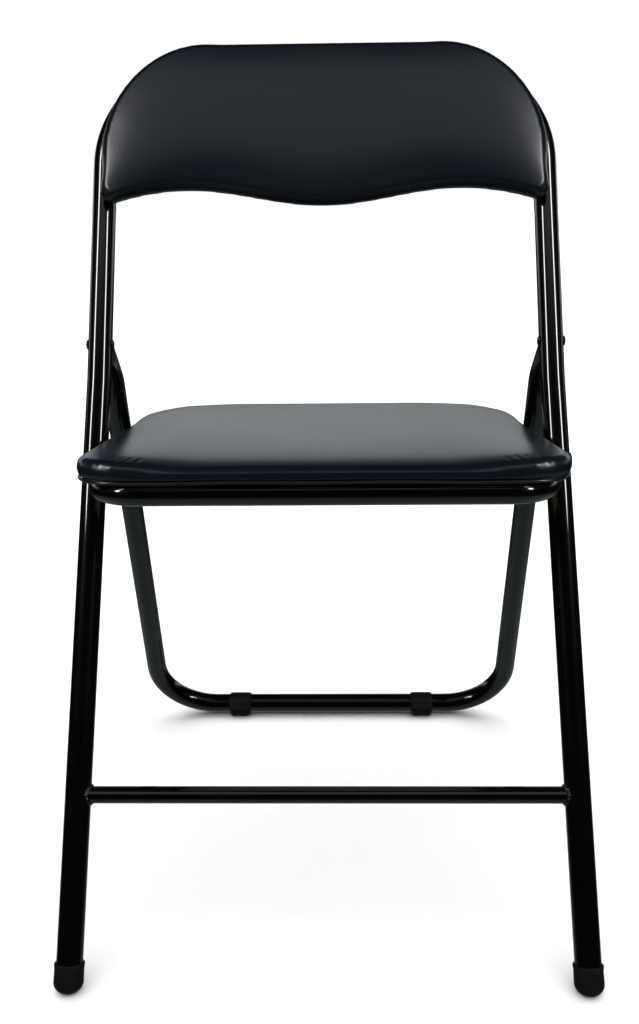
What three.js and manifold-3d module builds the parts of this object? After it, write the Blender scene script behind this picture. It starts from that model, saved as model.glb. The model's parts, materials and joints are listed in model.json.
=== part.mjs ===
// Folding chair: a bent steel front frame that carries the padded backrest, a folding rear U,
// a padded seat on a steel hoop, and two links that bring the rear legs in as the seat tips up.
// Millimetres, +Z up. The sitter faces -Y, and +X is the sitter's left.
// The origin is on the floor, in the middle of the chair's footprint.

import * as THREE from 'three';
import { mergeVertices } from 'three/addons/utils/BufferGeometryUtils.js';
import Module from 'manifold-3d';

const wasm = await Module();
wasm.setup();

// ---------------------------------------------------------------- driving dimensions

const GAP = 0.3; // clearance where two pieces touch or turn on each other
const WALL = 1.2; // wall of the steel tubes

const LEAN = THREE.MathUtils.degToRad(23.7); // front frame, back from the vertical
const LEG_R = 11; // front frame tube, Ø22
const FOOT_HALF_WIDTH = 215; // front tube axis at the floor
const WAIST_HALF_WIDTH = 206.2; // the same at the waist, where the legs stop tapering in
const WAIST_UP = 520; // distances "up" are measured along the front legs from the floor
const WAIST_BEND_R = 300;
const SHOULDER_HALF_WIDTH = 208; // the same beside the backrest
const HOOP_UP = 832; // axis of the hoop's top
const HOOP_BEND_R = 104;
const LEG_END_UP = 7; // the tube stops short of the floor inside its foot

const CROSSBAR_R = 7;
const CROSSBAR_UP = 157;

const PIVOT_UP = 553.1; // upper pivot, where the rear legs hang on the front legs
const REAR_R = 11; // rear frame tube, Ø22
const NEST = LEG_R + REAR_R + 0.6; // the folded rear legs lie this far behind the front legs
const REAR_BAR_BACK = 458; // axis of the rear frame's floor bar behind the front feet
const REAR_BAR_HEIGHT = 13.3;
const REAR_TOP_HALF_WIDTH = 206;
const REAR_BAR_HALF_WIDTH = 212;
const REAR_BEND_R = 70;
const REAR_FLAT_END = 56; // the legs' last stretch below the pivot is pressed flat
const TONGUE_T = 3.2; // two tube walls pressed together
const TONGUE_TIP_R = 8.5;
const BLADE_HALF_WIDTH = 14; // a tube pressed flat is wider than it was round
const BLADE_DROP = 16; // the blade is fully flat this far below the pivot

const SEAT_PIVOT_UP = 442.9;
const SEAT_SLOPE = THREE.MathUtils.degToRad(5.9); // the seat falls to the rear
const SEAT_FRONT = -153.8; // pad's front edge from the seat pivot, along the seat
const SEAT_REAR = 230.2;
const PAD_FRONT_HALF_WIDTH = 193;
const PAD_REAR_HALF_WIDTH = 186;
const PAD_FRONT_CORNER_R = 40;
const PAD_REAR_CORNER_R = 104;
const PAD_TOP = 27; // pad's crown above the seat tube's axis
const PAD_EDGE_R = 7;
const SEAT_TUBE_R = 10;
const SEAT_TUBE_INSET = 15; // seat tube axis inside the pad's outline
const BOARD_T = 8;
const BOARD_INSET = 5;

const EAR_BACK = 65; // link hole in the seat's ear, behind the seat pivot
const EAR_DROP = 16; // and below the seat tube's axis
const EAR_T = 2.5;
const EAR_R = 9;
const LINK_T = 2.8;
const LINK_HALF_W = 9;
const LINK_X = 192; // mid-plane of the link
const PIN_R = 3;

const BACK_FACE = -LEG_R - 0.4; // rear face of the backrest board, just ahead of the tubes
const BACK_THICK = 20;
const BACK_BOARD_T = 6;
const BACK_HALF_WIDTH = 206;
const BACK_TOP_UP = 839;
const BACK_EDGE_R = 6;
const BACK_CORNER_R = 12; // lower corners
const BACK_SHOULDER = { x: 110, up: 730 }; // centre of the upper corners' quarter ellipses
const BACK_WAVE = { x: 125, up: 694.5, dip: 15.6, rise: 16 }; // lower edge, highest at x either side

const SCREW_R = 2.2;
const SCREW_HEAD = { radius: 4, crown: 3, shoulder: 1.8, height: 2.2 };
const BOLT_R = 4; // seat pivot bolt
const BACK_TOP_SCREW_X = 60;
const TAB = { up: 706, inner: 176, outer: 201, height: 24, thick: 2, screwX: 186 };

const FOOT_R = 12.4;
const FOOT_UP = 24;
const GLIDE_X = 113;
const GLIDE_LENGTH = 26;
const GLIDE_R = 13.2;
const GLIDE_FOOT_HALF = 8; // half the length of its flat underside

const ROUND = 16; // sides of a tube
const BORE_SIDES = 8; // sides of a tube's bore
const SMALL_ROUND = 12; // sides of pins, holes and washers

const SIDES = { left: 1, right: -1 }; // the sitter's left is +X

// ---------------------------------------------------------------- materials

const finish = (color, roughness, metalness) =>
  new THREE.MeshStandardMaterial({ color, roughness, metalness });
const ENAMEL = finish(0x0b0c0f, 0.16, 0.3); // glossy black enamelled steel
const VINYL = finish(0x262b35, 0.45, 0);
const RUBBER = finish(0x141415, 0.8, 0);
const PLYWOOD = finish(0x8a6a45, 0.8, 0);
const ZINC = finish(0x8f9296, 0.35, 0.9);

// ---------------------------------------------------------------- side view: (y, z) points

/** A point in the side view, measured up the front legs and square back from them. */
function onFront(up, back = 0) {
  return new THREE.Vector2(
    up * Math.sin(LEAN) + back * Math.cos(LEAN),
    up * Math.cos(LEAN) - back * Math.sin(LEAN),
  );
}

const ORIGIN = new THREE.Vector2();
const UPPER_PIVOT = onFront(PIVOT_UP);
const SEAT_PIVOT = onFront(SEAT_PIVOT_UP);

// The rear legs run past the upper pivot at the distance NEST, down to the floor bar.
const toBar = new THREE.Vector2(REAR_BAR_BACK, REAR_BAR_HEIGHT).sub(UPPER_PIVOT);
const REAR_LEAN = Math.atan2(toBar.x, -toBar.y) - Math.asin(NEST / toBar.length());
const REAR_LENGTH = Math.sqrt(toBar.lengthSq() - NEST ** 2);

// Folded, the rear legs and the seat both lie along the front legs.
const REAR_FOLD = REAR_LEAN + LEAN;
const SEAT_FOLD = Math.PI / 2 + LEAN - SEAT_SLOPE;

const EAR_HOLE = new THREE.Vector2(EAR_BACK, -EAR_DROP).rotateAround(ORIGIN, -SEAT_SLOPE).add(SEAT_PIVOT);
const EAR_HOLE_FOLDED = EAR_HOLE.clone().rotateAround(SEAT_PIVOT, -SEAT_FOLD);

/** The same point as the rear leg sees it: x square back from the upper pivot, y up the leg. */
function seenFromLeg(point, turned) {
  return point.clone().sub(UPPER_PIVOT).rotateAround(ORIGIN, turned - REAR_LEAN);
}

/** The link's hole in the rear leg is on the leg's axis, as far from the ear's hole open as folded. */
function linkHoleDrop() {
  const open = seenFromLeg(EAR_HOLE, 0);
  const folded = seenFromLeg(EAR_HOLE_FOLDED, REAR_FOLD);
  const middle = open.clone().add(folded).divideScalar(2);
  const across = folded.sub(open);
  return -(middle.y + ((middle.x - NEST) * across.x) / across.y);
}

const LINK_HOLE_DROP = linkHoleDrop();
const LINK_HOLE = new THREE.Vector2(NEST, -LINK_HOLE_DROP).rotateAround(ORIGIN, REAR_LEAN).add(UPPER_PIVOT);
const LINK_LENGTH = LINK_HOLE.distanceTo(EAR_HOLE);
const LINK_ANGLE = EAR_HOLE.clone().sub(LINK_HOLE).angle();

const LEG_TAPER = Math.atan2(FOOT_HALF_WIDTH - WAIST_HALF_WIDTH, WAIST_UP);

/** Half-width of the front frame's axis at a distance up the legs. */
function frontHalfWidth(up) {
  const { lerp } = THREE.MathUtils;
  if (up < WAIST_UP) return lerp(FOOT_HALF_WIDTH, WAIST_HALF_WIDTH, up / WAIST_UP);
  const share = (up - WAIST_UP) / (HOOP_UP - HOOP_BEND_R - WAIST_UP);
  return lerp(WAIST_HALF_WIDTH, SHOULDER_HALF_WIDTH, Math.min(1, share));
}

/** Half-width of the rear frame's axis at a distance below the upper pivot. */
function rearHalfWidth(drop) {
  return THREE.MathUtils.lerp(REAR_TOP_HALF_WIDTH, REAR_BAR_HALF_WIDTH, drop / REAR_LENGTH);
}

// ---------------------------------------------------------------- geometry helpers

function toSolid(geometry) {
  const bare = geometry.clone();
  bare.deleteAttribute('normal');
  bare.deleteAttribute('uv');
  const merged = mergeVertices(bare, 1e-4);
  return new wasm.Manifold(new wasm.Mesh({
    numProp: 3,
    vertProperties: new Float32Array(merged.attributes.position.array),
    triVerts: new Uint32Array(merged.index.array),
  }));
}

function toGeometry(solid) {
  const { vertProperties, triVerts } = solid.getMesh();
  const geometry = new THREE.BufferGeometry();
  geometry.setAttribute('position', new THREE.BufferAttribute(new Float32Array(vertProperties), 3));
  geometry.setIndex(new THREE.BufferAttribute(new Uint32Array(triVerts), 1));
  geometry.computeVertexNormals();
  return geometry;
}

const cut = (geometry, ...tools) =>
  toGeometry(tools.reduce((solid, tool) => solid.subtract(toSolid(tool)), toSolid(geometry)));
const join = (first, ...others) =>
  toGeometry(others.reduce((solid, other) => solid.add(toSolid(other)), toSolid(first)));

/** A cylinder whose axis runs along X, Y or Z through the given centre. */
function rod(radius, length, axis, [x, y, z] = [0, 0, 0], sides = SMALL_ROUND) {
  const geometry = new THREE.CylinderGeometry(radius, radius, length, sides);
  if (axis === 'x') geometry.rotateZ(-Math.PI / 2);
  if (axis === 'z') geometry.rotateX(Math.PI / 2);
  return geometry.translate(x, y, z);
}

/** A turned piece on the X axis, from [radius, x] pairs. */
function turnedAlongX(profile, sides = SMALL_ROUND) {
  const points = profile.map(([radius, x]) => new THREE.Vector2(radius, x));
  return new THREE.LatheGeometry(points, sides).rotateZ(-Math.PI / 2);
}

/** A sleeve or a washer on the X axis. */
const sleeveOnX = (bore, radius, from, to) =>
  turnedAlongX([[bore, from], [radius, from], [radius, to], [bore, to], [bore, from]]);

/** A sheet piece whose outline is drawn in the side view, centred on x. */
function sheetAcrossX(outline, thickness, x = 0) {
  const toSide = new THREE.Matrix4().makeBasis(
    new THREE.Vector3(0, 1, 0), new THREE.Vector3(0, 0, 1), new THREE.Vector3(1, 0, 0),
  );
  return new THREE.ExtrudeGeometry(outline, { depth: thickness, bevelEnabled: false, curveSegments: 8 })
    .translate(0, 0, -thickness / 2)
    .applyMatrix4(toSide)
    .translate(x, 0, 0);
}

/** A route of straights and round bends. It is stepped only at its bends, so straights stay whole. */
class BentRoute extends THREE.Curve {
  constructor(corners, radii, bendStep = THREE.MathUtils.degToRad(15)) {
    super();
    this.stations = [];
    corners.forEach((corner, i) => {
      const before = corners[i - 1];
      const after = corners[i + 1];
      if (!before || !after) {
        const along = (before ? corner.clone().sub(before) : after.clone().sub(corner)).normalize();
        this.stations.push({ point: corner, along });
        return;
      }
      const enter = corner.clone().sub(before).normalize();
      const leave = after.clone().sub(corner).normalize();
      const angle = enter.angleTo(leave);
      const inward = leave.clone().addScaledVector(enter, -Math.cos(angle)).normalize();
      const start = corner.clone().addScaledVector(enter, -radii[i] * Math.tan(angle / 2));
      const steps = Math.max(2, Math.ceil(angle / bendStep));
      for (let k = 0; k <= steps; k++) {
        const turned = (angle * k) / steps;
        const point = start.clone()
          .addScaledVector(enter, radii[i] * Math.sin(turned))
          .addScaledVector(inward, radii[i] * (1 - Math.cos(turned)));
        const along = enter.clone()
          .multiplyScalar(Math.cos(turned))
          .addScaledVector(inward, Math.sin(turned));
        this.stations.push({ point, along });
      }
    });
  }

  get steps() {
    return this.stations.length - 1;
  }

  getPointAt(share, target = new THREE.Vector3()) {
    return target.copy(this.stations[Math.round(share * this.steps)].point);
  }

  getTangentAt(share, target = new THREE.Vector3()) {
    return target.copy(this.stations[Math.round(share * this.steps)].along);
  }
}

/** A regular polygon's outline, for a tube's section. */
function ring(PathClass, radius, sides) {
  const corner = (_, i) => new THREE.Vector2(radius, 0).rotateAround(ORIGIN, (2 * Math.PI * i) / sides);
  return new PathClass(Array.from({ length: sides }, corner)).closePath();
}

/** A hollow tube bent along a route, open at both ends. */
function bentTube(route, radius, wall = WALL) {
  const section = ring(THREE.Shape, radius, ROUND);
  section.holes.push(ring(THREE.Path, radius - wall, BORE_SIDES));
  return new THREE.ExtrudeGeometry(section, { steps: route.steps, extrudePath: route });
}

/** The same outline as a plain polygon, with no two points in one place. */
function asPolygon(shape, divisions = 8) {
  const points = shape.getPoints(divisions);
  const apart = (a, b) => a.distanceTo(b) > 0.05;
  return new THREE.Shape(points.filter((point, i) => apart(point, points[(i + 1) % points.length])));
}

/** An outline extruded along +Z from the given height, with both its edges rounded. */
function roundedSlab(outline, bottom, top, edge) {
  return new THREE.ExtrudeGeometry(outline, {
    depth: top - bottom - 2 * edge,
    bevelThickness: edge,
    bevelSize: edge,
    bevelOffset: -edge,
    bevelSegments: 2,
    curveSegments: 8,
  }).translate(0, 0, bottom + edge);
}

// ---------------------------------------------------------------- scene graph

const chair = new THREE.Group();

/** A group in the side view: its Z runs along the given lean, its Y square to that, to the rear. */
function sideGroup(place, turn) {
  const group = new THREE.Group();
  group.position.set(0, place.x, place.y);
  group.rotation.x = turn;
  chair.add(group);
  return group;
}

const frontFrame = sideGroup(ORIGIN, -LEAN); // local: x, square back, up the legs
const rearFrame = sideGroup(UPPER_PIVOT, REAR_LEAN); // local: x, square back, up the rear legs
const seat = sideGroup(SEAT_PIVOT, -SEAT_SLOPE); // local: x, along the seat to the rear, square up
const links = sideGroup(LINK_HOLE, LINK_ANGLE); // local: x, towards the ear's hole, square to that

function add(parent, name, geometry, material) {
  const mesh = new THREE.Mesh(geometry, material);
  mesh.name = name;
  parent.add(mesh);
}

// ---------------------------------------------------------------- front frame

function frontFrameTube() {
  const halfLoop = [
    [frontHalfWidth(LEG_END_UP), LEG_END_UP],
    [WAIST_HALF_WIDTH, WAIST_UP],
    [SHOULDER_HALF_WIDTH, HOOP_UP],
  ];
  const corners = [...halfLoop, ...halfLoop.toReversed().map(([x, up]) => [-x, up])]
    .map(([x, up]) => new THREE.Vector3(x, 0, up));
  const radii = [0, WAIST_BEND_R, HOOP_BEND_R, HOOP_BEND_R, WAIST_BEND_R, 0];
  const tube = bentTube(new BentRoute(corners, radii), LEG_R);
  const slot = { width: TONGUE_T + 1, depth: 10, length: 41, back: 8 }; // the rear leg's tongue swings in it
  const across = 3 * LEG_R; // long enough to cut both walls
  const holes = Object.values(SIDES).flatMap((side) => {
    const pivotX = side * frontHalfWidth(PIVOT_UP);
    const seatX = side * frontHalfWidth(SEAT_PIVOT_UP);
    return [
      new THREE.BoxGeometry(slot.width, slot.depth, slot.length).translate(pivotX, slot.back, PIVOT_UP),
      rod(PIN_R + GAP, across, 'x', [pivotX, 0, PIVOT_UP]),
      rod(BOLT_R + GAP, across, 'x', [seatX, 0, SEAT_PIVOT_UP]),
      rod(SCREW_R + GAP, across, 'y', [side * BACK_TOP_SCREW_X, 0, HOOP_UP]),
    ];
  });
  add(frontFrame, 'front_frame_tube', cut(tube, ...holes), ENAMEL);
}

/** The crossbar is coped at both ends to the front legs. */
function frontCrossbar() {
  const halfWidth = frontHalfWidth(CROSSBAR_UP);
  const route = new BentRoute(
    [new THREE.Vector3(-halfWidth, 0, CROSSBAR_UP), new THREE.Vector3(halfWidth, 0, CROSSBAR_UP)], [0, 0],
  );
  const legs = Object.values(SIDES).map((side) => rod(LEG_R + GAP, 6 * CROSSBAR_R, 'z', [0, 0, 0], ROUND)
    .rotateY(-side * LEG_TAPER)
    .translate(side * halfWidth, 0, CROSSBAR_UP));
  add(frontFrame, 'front_crossbar', cut(bentTube(route, CROSSBAR_R), ...legs), ENAMEL);
}

/** A rubber cap on the leg's end, worn flat where it stands on the floor. */
function frontFoot(name, side) {
  const bore = LEG_R + GAP;
  const lip = { radius: FOOT_R + 0.6, height: 2 };
  const inside = LEG_END_UP - 0.5;
  const profile = [
    [0, -2], [6, -1], [10, 1.5], [12, 5.5], [FOOT_R, 9], [FOOT_R, FOOT_UP - lip.height - 1],
    [lip.radius, FOOT_UP - lip.height], [lip.radius, FOOT_UP], [bore, FOOT_UP], [bore, inside], [0, inside],
  ].map(([radius, up]) => new THREE.Vector2(radius, up));
  const cap = new THREE.LatheGeometry(profile, 20)
    .rotateX(Math.PI / 2)
    .rotateY(-side * LEG_TAPER)
    .rotateX(-LEAN)
    .translate(side * FOOT_HALF_WIDTH, 0, 0);
  const floor = new THREE.BoxGeometry(5 * FOOT_R, 5 * FOOT_R, 2 * FOOT_R)
    .translate(side * FOOT_HALF_WIDTH, 0, -FOOT_R);
  add(chair, name, cut(cap, floor), RUBBER);
}

// ---------------------------------------------------------------- backrest

/** The backrest's outline: wavy lower edge, straight sides, wide elliptical shoulders. */
function backrestOutline(inset = 0) {
  const half = BACK_HALF_WIDTH - inset;
  const { x: waveX, up: waveUp, dip, rise } = BACK_WAVE;
  const lowerEdge = (x) => {
    const beyond = (Math.abs(x) - waveX) / (BACK_HALF_WIDTH - waveX);
    if (beyond < 0) return waveUp - (dip / 2) * (1 + Math.cos((Math.PI * x) / waveX)) + inset;
    return waveUp - rise * beyond ** 2 + inset;
  };
  const outline = new THREE.Shape();
  const steps = 26;
  for (let i = 0; i <= steps; i++) {
    const x = THREE.MathUtils.lerp(-half + BACK_CORNER_R, half - BACK_CORNER_R, i / steps);
    if (i === 0) outline.moveTo(x, lowerEdge(x));
    else outline.lineTo(x, lowerEdge(x));
  }
  const cornerUp = lowerEdge(half - BACK_CORNER_R);
  outline.quadraticCurveTo(half, cornerUp - 1, half, cornerUp + BACK_CORNER_R);
  outline.lineTo(half, BACK_SHOULDER.up);
  const { x: shoulderX, up: shoulderUp } = BACK_SHOULDER;
  const [reach, height] = [half - shoulderX, BACK_TOP_UP - inset - shoulderUp];
  outline.absellipse(shoulderX, shoulderUp, reach, height, 0, Math.PI / 2);
  outline.absellipse(-shoulderX, shoulderUp, reach, height, Math.PI / 2, Math.PI);
  outline.lineTo(-half, cornerUp + BACK_CORNER_R);
  outline.quadraticCurveTo(-half, cornerUp - 1, -half + BACK_CORNER_R, cornerUp);
  return asPolygon(outline);
}

/** Stands a slab that was drawn flat up against the front frame, with its height running forward. */
const standUp = (slab) => slab.rotateX(Math.PI / 2).translate(0, BACK_FACE, 0);

const BACK_SCREWS = Object.values(SIDES).flatMap((side) => [
  { x: side * BACK_TOP_SCREW_X, up: HOOP_UP, head: LEG_R },
  { x: side * TAB.screwX, up: TAB.up, head: BACK_FACE + GAP + TAB.thick },
]);

/** A round-headed screw on the X axis: its head's underside and its tip, with +X towards the head. */
function screw(tip, underHead) {
  const { radius, crown, shoulder, height } = SCREW_HEAD;
  return turnedAlongX([
    [0, tip], [SCREW_R, tip + 1], [SCREW_R, underHead], [radius, underHead],
    [crown, underHead + shoulder], [0, underHead + height],
  ]);
}

function backrest() {
  const depth = 4.5; // how far a screw goes into the board
  const screwHoles = BACK_SCREWS.map(({ x, up }) =>
    rod(SCREW_R + GAP, 2 * (depth + GAP), 'y', [x, BACK_FACE, up]));
  const board = standUp(new THREE.ExtrudeGeometry(backrestOutline(BOARD_INSET), {
    depth: BACK_BOARD_T, bevelEnabled: false, curveSegments: 8,
  }));
  add(frontFrame, 'backrest_board', cut(board, ...screwHoles), PLYWOOD);

  const past = 5; // the recess is cut from this far outside the pad's rear face
  const recess = standUp(new THREE.ExtrudeGeometry(backrestOutline(BOARD_INSET - GAP), {
    depth: past + BACK_BOARD_T + GAP, bevelEnabled: false, curveSegments: 8,
  }).translate(0, 0, -past));
  const pad = standUp(roundedSlab(backrestOutline(), 0, BACK_THICK, BACK_EDGE_R));
  add(frontFrame, 'backrest_cushion', cut(pad, recess), VINYL);

  BACK_SCREWS.forEach(({ x, up, head }, i) => {
    const piece = screw(BACK_FACE - depth, head + GAP).rotateZ(Math.PI / 2).translate(x, 0, up);
    add(frontFrame, `backrest_screw_${i + 1}`, piece, ZINC);
  });
}

/** A steel tab welded beside the leg takes the backrest's lower screw. */
function backrestTab(name, side) {
  const middle = BACK_FACE + GAP + TAB.thick / 2;
  const tab = new THREE.BoxGeometry(TAB.outer - TAB.inner, TAB.thick, TAB.height)
    .translate((side * (TAB.outer + TAB.inner)) / 2, middle, TAB.up);
  const hole = rod(SCREW_R + GAP, 5 * TAB.thick, 'y', [side * TAB.screwX, middle, TAB.up]);
  add(frontFrame, name, cut(tab, hole), ENAMEL);
}

// ---------------------------------------------------------------- pivots on the front frame

/** A rivet through the front leg and the flattened end of the rear leg inside it. */
function upperPivotRivet(name, side) {
  const seatOfHead = LEG_R + GAP;
  const half = [
    [PIN_R, seatOfHead], [4.6, seatOfHead], [4.2, seatOfHead + 0.8],
    [2.4, seatOfHead + 1.4], [0, seatOfHead + 1.5],
  ];
  const otherHalf = half.toReversed().map(([radius, x]) => [radius, -x]);
  const rivet = turnedAlongX([...otherHalf, ...half]).translate(side * frontHalfWidth(PIVOT_UP), 0, PIVOT_UP);
  add(frontFrame, name, rivet, ENAMEL);
}

/** Half-width of the seat tube's axis at a distance behind the seat pivot. */
function seatTubeHalfWidth(back) {
  const frontCorner = SEAT_FRONT + PAD_FRONT_CORNER_R;
  const rearCorner = SEAT_REAR - PAD_REAR_CORNER_R;
  const share = (back - frontCorner) / (rearCorner - frontCorner);
  return THREE.MathUtils.lerp(PAD_FRONT_HALF_WIDTH, PAD_REAR_HALF_WIDTH, share) - SEAT_TUBE_INSET;
}

/** The seat turns on a bolt through the front leg, a spacer sleeve and the seat tube. */
function seatPivot(side, label) {
  const outerHead = frontHalfWidth(SEAT_PIVOT_UP) + LEG_R + GAP;
  const innerEnd = seatTubeHalfWidth(0) - SEAT_TUBE_R - GAP;
  const bolt = turnedAlongX([
    [0, innerEnd - 2.6], [5, innerEnd - 2], [6, innerEnd], [BOLT_R, innerEnd],
    [BOLT_R, outerHead], [7, outerHead], [6.4, outerHead + 0.6], [0, outerHead + 1],
  ]);
  const runningGap = 0.5; // the seat tube turns against the sleeve
  const sleeve = sleeveOnX(
    BOLT_R + GAP, 7, seatTubeHalfWidth(0) + SEAT_TUBE_R + runningGap,
    frontHalfWidth(SEAT_PIVOT_UP) - LEG_R - runningGap,
  );
  [[`seat_pivot_bolt_${label}`, bolt], [`seat_pivot_spacer_${label}`, sleeve]].forEach(([name, piece]) => {
    if (side < 0) piece.rotateY(Math.PI);
    add(frontFrame, name, piece.translate(0, 0, SEAT_PIVOT_UP), ZINC);
  });
}

// ---------------------------------------------------------------- rear frame

/** The tube's flattened stretch: round at the bottom, a flat blade at the top, level at the front. */
function flattenedEnd(side) {
  const bottom = REAR_FLAT_END + 3; // it starts inside the round tube
  const roundR = REAR_R - 0.1;
  const end = new THREE.CylinderGeometry(1, 1, 1, ROUND, 5).rotateX(Math.PI / 2).translate(0, 0, 0.5);
  const { position } = end.attributes;
  for (let i = 0; i < position.count; i++) {
    const share = THREE.MathUtils.smoothstep(position.getZ(i), 0, 0.97);
    const halfX = THREE.MathUtils.lerp(roundR, TONGUE_T / 2, share);
    const halfY = THREE.MathUtils.lerp(roundR, BLADE_HALF_WIDTH, share);
    const drop = THREE.MathUtils.lerp(bottom, BLADE_DROP, position.getZ(i));
    const x = side * rearHalfWidth(drop) + position.getX(i) * halfX;
    const back = NEST + halfY - roundR + position.getY(i) * halfY;
    position.setXYZ(i, x, back, -drop);
  }
  return end;
}

/** The blade's tongue reaches forward to the pivot inside the front leg. */
function tongue(side) {
  const outline = new THREE.Shape();
  const bottom = -BLADE_DROP - 4; // it overlaps the blade
  const front = NEST - REAR_R + 0.4;
  const rear = front - 0.4 + 2 * BLADE_HALF_WIDTH - 1;
  const tip = { from: 1.27, to: 4.25 }; // the tongue's round end, where its edges meet it
  outline.moveTo(front, bottom);
  outline.lineTo(rear, bottom);
  outline.quadraticCurveTo(rear, -4, NEST + 4, 1);
  outline.lineTo(TONGUE_TIP_R * Math.cos(tip.from), TONGUE_TIP_R * Math.sin(tip.from));
  outline.absarc(0, 0, TONGUE_TIP_R, tip.from, tip.to, false);
  outline.closePath();
  const hole = rod(PIN_R + GAP, 5 * TONGUE_T, 'x', [side * REAR_TOP_HALF_WIDTH, 0, 0]);
  return cut(sheetAcrossX(outline, TONGUE_T, side * REAR_TOP_HALF_WIDTH), hole);
}

function rearFrameTube() {
  const corners = [
    [rearHalfWidth(REAR_FLAT_END), -REAR_FLAT_END],
    [REAR_BAR_HALF_WIDTH, -REAR_LENGTH],
    [-REAR_BAR_HALF_WIDTH, -REAR_LENGTH],
    [-rearHalfWidth(REAR_FLAT_END), -REAR_FLAT_END],
  ].map(([x, up]) => new THREE.Vector3(x, NEST, up));
  const tube = bentTube(new BentRoute(corners, [0, REAR_BEND_R, REAR_BEND_R, 0]), REAR_R);
  const ends = Object.values(SIDES).flatMap((side) => [flattenedEnd(side), tongue(side)]);
  const pinHoles = Object.values(SIDES).map((side) =>
    rod(PIN_R + GAP, REAR_R, 'x', [side * (rearHalfWidth(LINK_HOLE_DROP) - REAR_R), NEST, -LINK_HOLE_DROP]));
  add(rearFrame, 'rear_frame_tube', cut(join(tube, ...ends), ...pinHoles), ENAMEL);
}

/** A saddle clip that the floor bar stands on, flat underneath. */
function rearGlide(name, side) {
  const outline = new THREE.Shape();
  const from = Math.asin(-GLIDE_FOOT_HALF / GLIDE_R);
  outline.moveTo(-GLIDE_FOOT_HALF, 0);
  outline.lineTo(GLIDE_FOOT_HALF, 0);
  outline.absarc(0, REAR_BAR_HEIGHT, GLIDE_R, from, Math.PI - from, false);
  outline.closePath();
  outline.holes.push(new THREE.Path().absarc(0, REAR_BAR_HEIGHT, REAR_R + GAP, 0, 2 * Math.PI, true));
  const clip = sheetAcrossX(outline, GLIDE_LENGTH, side * GLIDE_X).translate(0, REAR_BAR_BACK, 0);
  add(chair, name, clip, RUBBER);
}

// ---------------------------------------------------------------- seat

/** The measures of the pad's outline, or of one set in from it: small front corners, large rear ones. */
function seatOutline(inset = 0) {
  const front = SEAT_FRONT + inset;
  const rear = SEAT_REAR - inset;
  const frontR = PAD_FRONT_CORNER_R - Math.min(inset, 12);
  const rearR = PAD_REAR_CORNER_R - inset;
  const frontX = PAD_FRONT_HALF_WIDTH - inset;
  const rearX = PAD_REAR_HALF_WIDTH - inset;
  return { front, rear, frontR, rearR, frontX, rearX };
}

function seatShape(inset = 0) {
  const { front, rear, frontR, rearR, frontX, rearX } = seatOutline(inset);
  const shape = new THREE.Shape();
  shape.moveTo(-frontX + frontR, front);
  shape.lineTo(frontX - frontR, front);
  shape.absarc(frontX - frontR, front + frontR, frontR, -Math.PI / 2, 0, false);
  shape.lineTo(rearX, rear - rearR);
  shape.absarc(rearX - rearR, rear - rearR, rearR, 0, Math.PI / 2, false);
  shape.lineTo(-rearX + rearR, rear);
  shape.absarc(-rearX + rearR, rear - rearR, rearR, Math.PI / 2, Math.PI, false);
  shape.lineTo(-frontX, front + frontR);
  shape.absarc(-frontX + frontR, front + frontR, frontR, Math.PI, 1.5 * Math.PI, false);
  return asPolygon(shape);
}

const SEAT_SCREWS = Object.values(SIDES).flatMap((side) =>
  [-85, 112].map((back) => ({ x: side * seatTubeHalfWidth(back), back })));

/** The seat's hoop is bent from one tube, and its ends meet at the middle of the rear. */
function seatFrameTube() {
  const { front, rear, frontR, rearR } = seatOutline(SEAT_TUBE_INSET);
  const [frontX, rearX] = [seatTubeHalfWidth(front), seatTubeHalfWidth(rear)];
  const halfHoop = [[GAP, rear], [rearX, rear], [frontX, front]];
  const corners = [...halfHoop, ...halfHoop.toReversed().map(([x, back]) => [-x, back])]
    .map(([x, back]) => new THREE.Vector3(x, back, 0));
  const frontBendR = frontR + 10; // the tube cuts the pad's front corners
  const tube = bentTube(new BentRoute(corners, [0, rearR, frontBendR, frontBendR, rearR, 0]), SEAT_TUBE_R);
  const across = 3 * SEAT_TUBE_R;
  const screwHoles = SEAT_SCREWS.map(({ x, back }) => rod(SCREW_R + GAP, across, 'z', [x, back, 0]));
  const boltHoles = Object.values(SIDES).map((side) =>
    rod(BOLT_R + GAP, across, 'x', [side * seatTubeHalfWidth(0), 0, 0]));
  add(seat, 'seat_frame_tube', cut(tube, ...screwHoles, ...boltHoles), ENAMEL);
}

function seatPad() {
  const bottom = SEAT_TUBE_R + GAP;
  const board = new THREE.ExtrudeGeometry(seatShape(BOARD_INSET), {
    depth: BOARD_T, bevelEnabled: false, curveSegments: 8,
  }).translate(0, 0, bottom);
  const depth = 5.5; // how far a screw goes into the board
  const screwHoles = SEAT_SCREWS.map(({ x, back }) =>
    rod(SCREW_R + GAP, 2 * (depth + GAP), 'z', [x, back, bottom]));
  add(seat, 'seat_board', cut(board, ...screwHoles), PLYWOOD);

  const past = 5; // the recess is cut from this far below the pad
  const recess = new THREE.ExtrudeGeometry(seatShape(BOARD_INSET - GAP), {
    depth: past + BOARD_T + GAP, bevelEnabled: false, curveSegments: 8,
  }).translate(0, 0, bottom - past);
  const pad = roundedSlab(seatShape(), bottom, PAD_TOP, PAD_EDGE_R);
  add(seat, 'seat_cushion', cut(pad, recess), VINYL);

  SEAT_SCREWS.forEach(({ x, back }, i) => {
    const piece = screw(-bottom - depth, SEAT_TUBE_R + GAP).rotateY(Math.PI / 2).translate(x, back, 0);
    add(seat, `seat_screw_${i + 1}`, piece, ZINC);
  });
}

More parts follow.
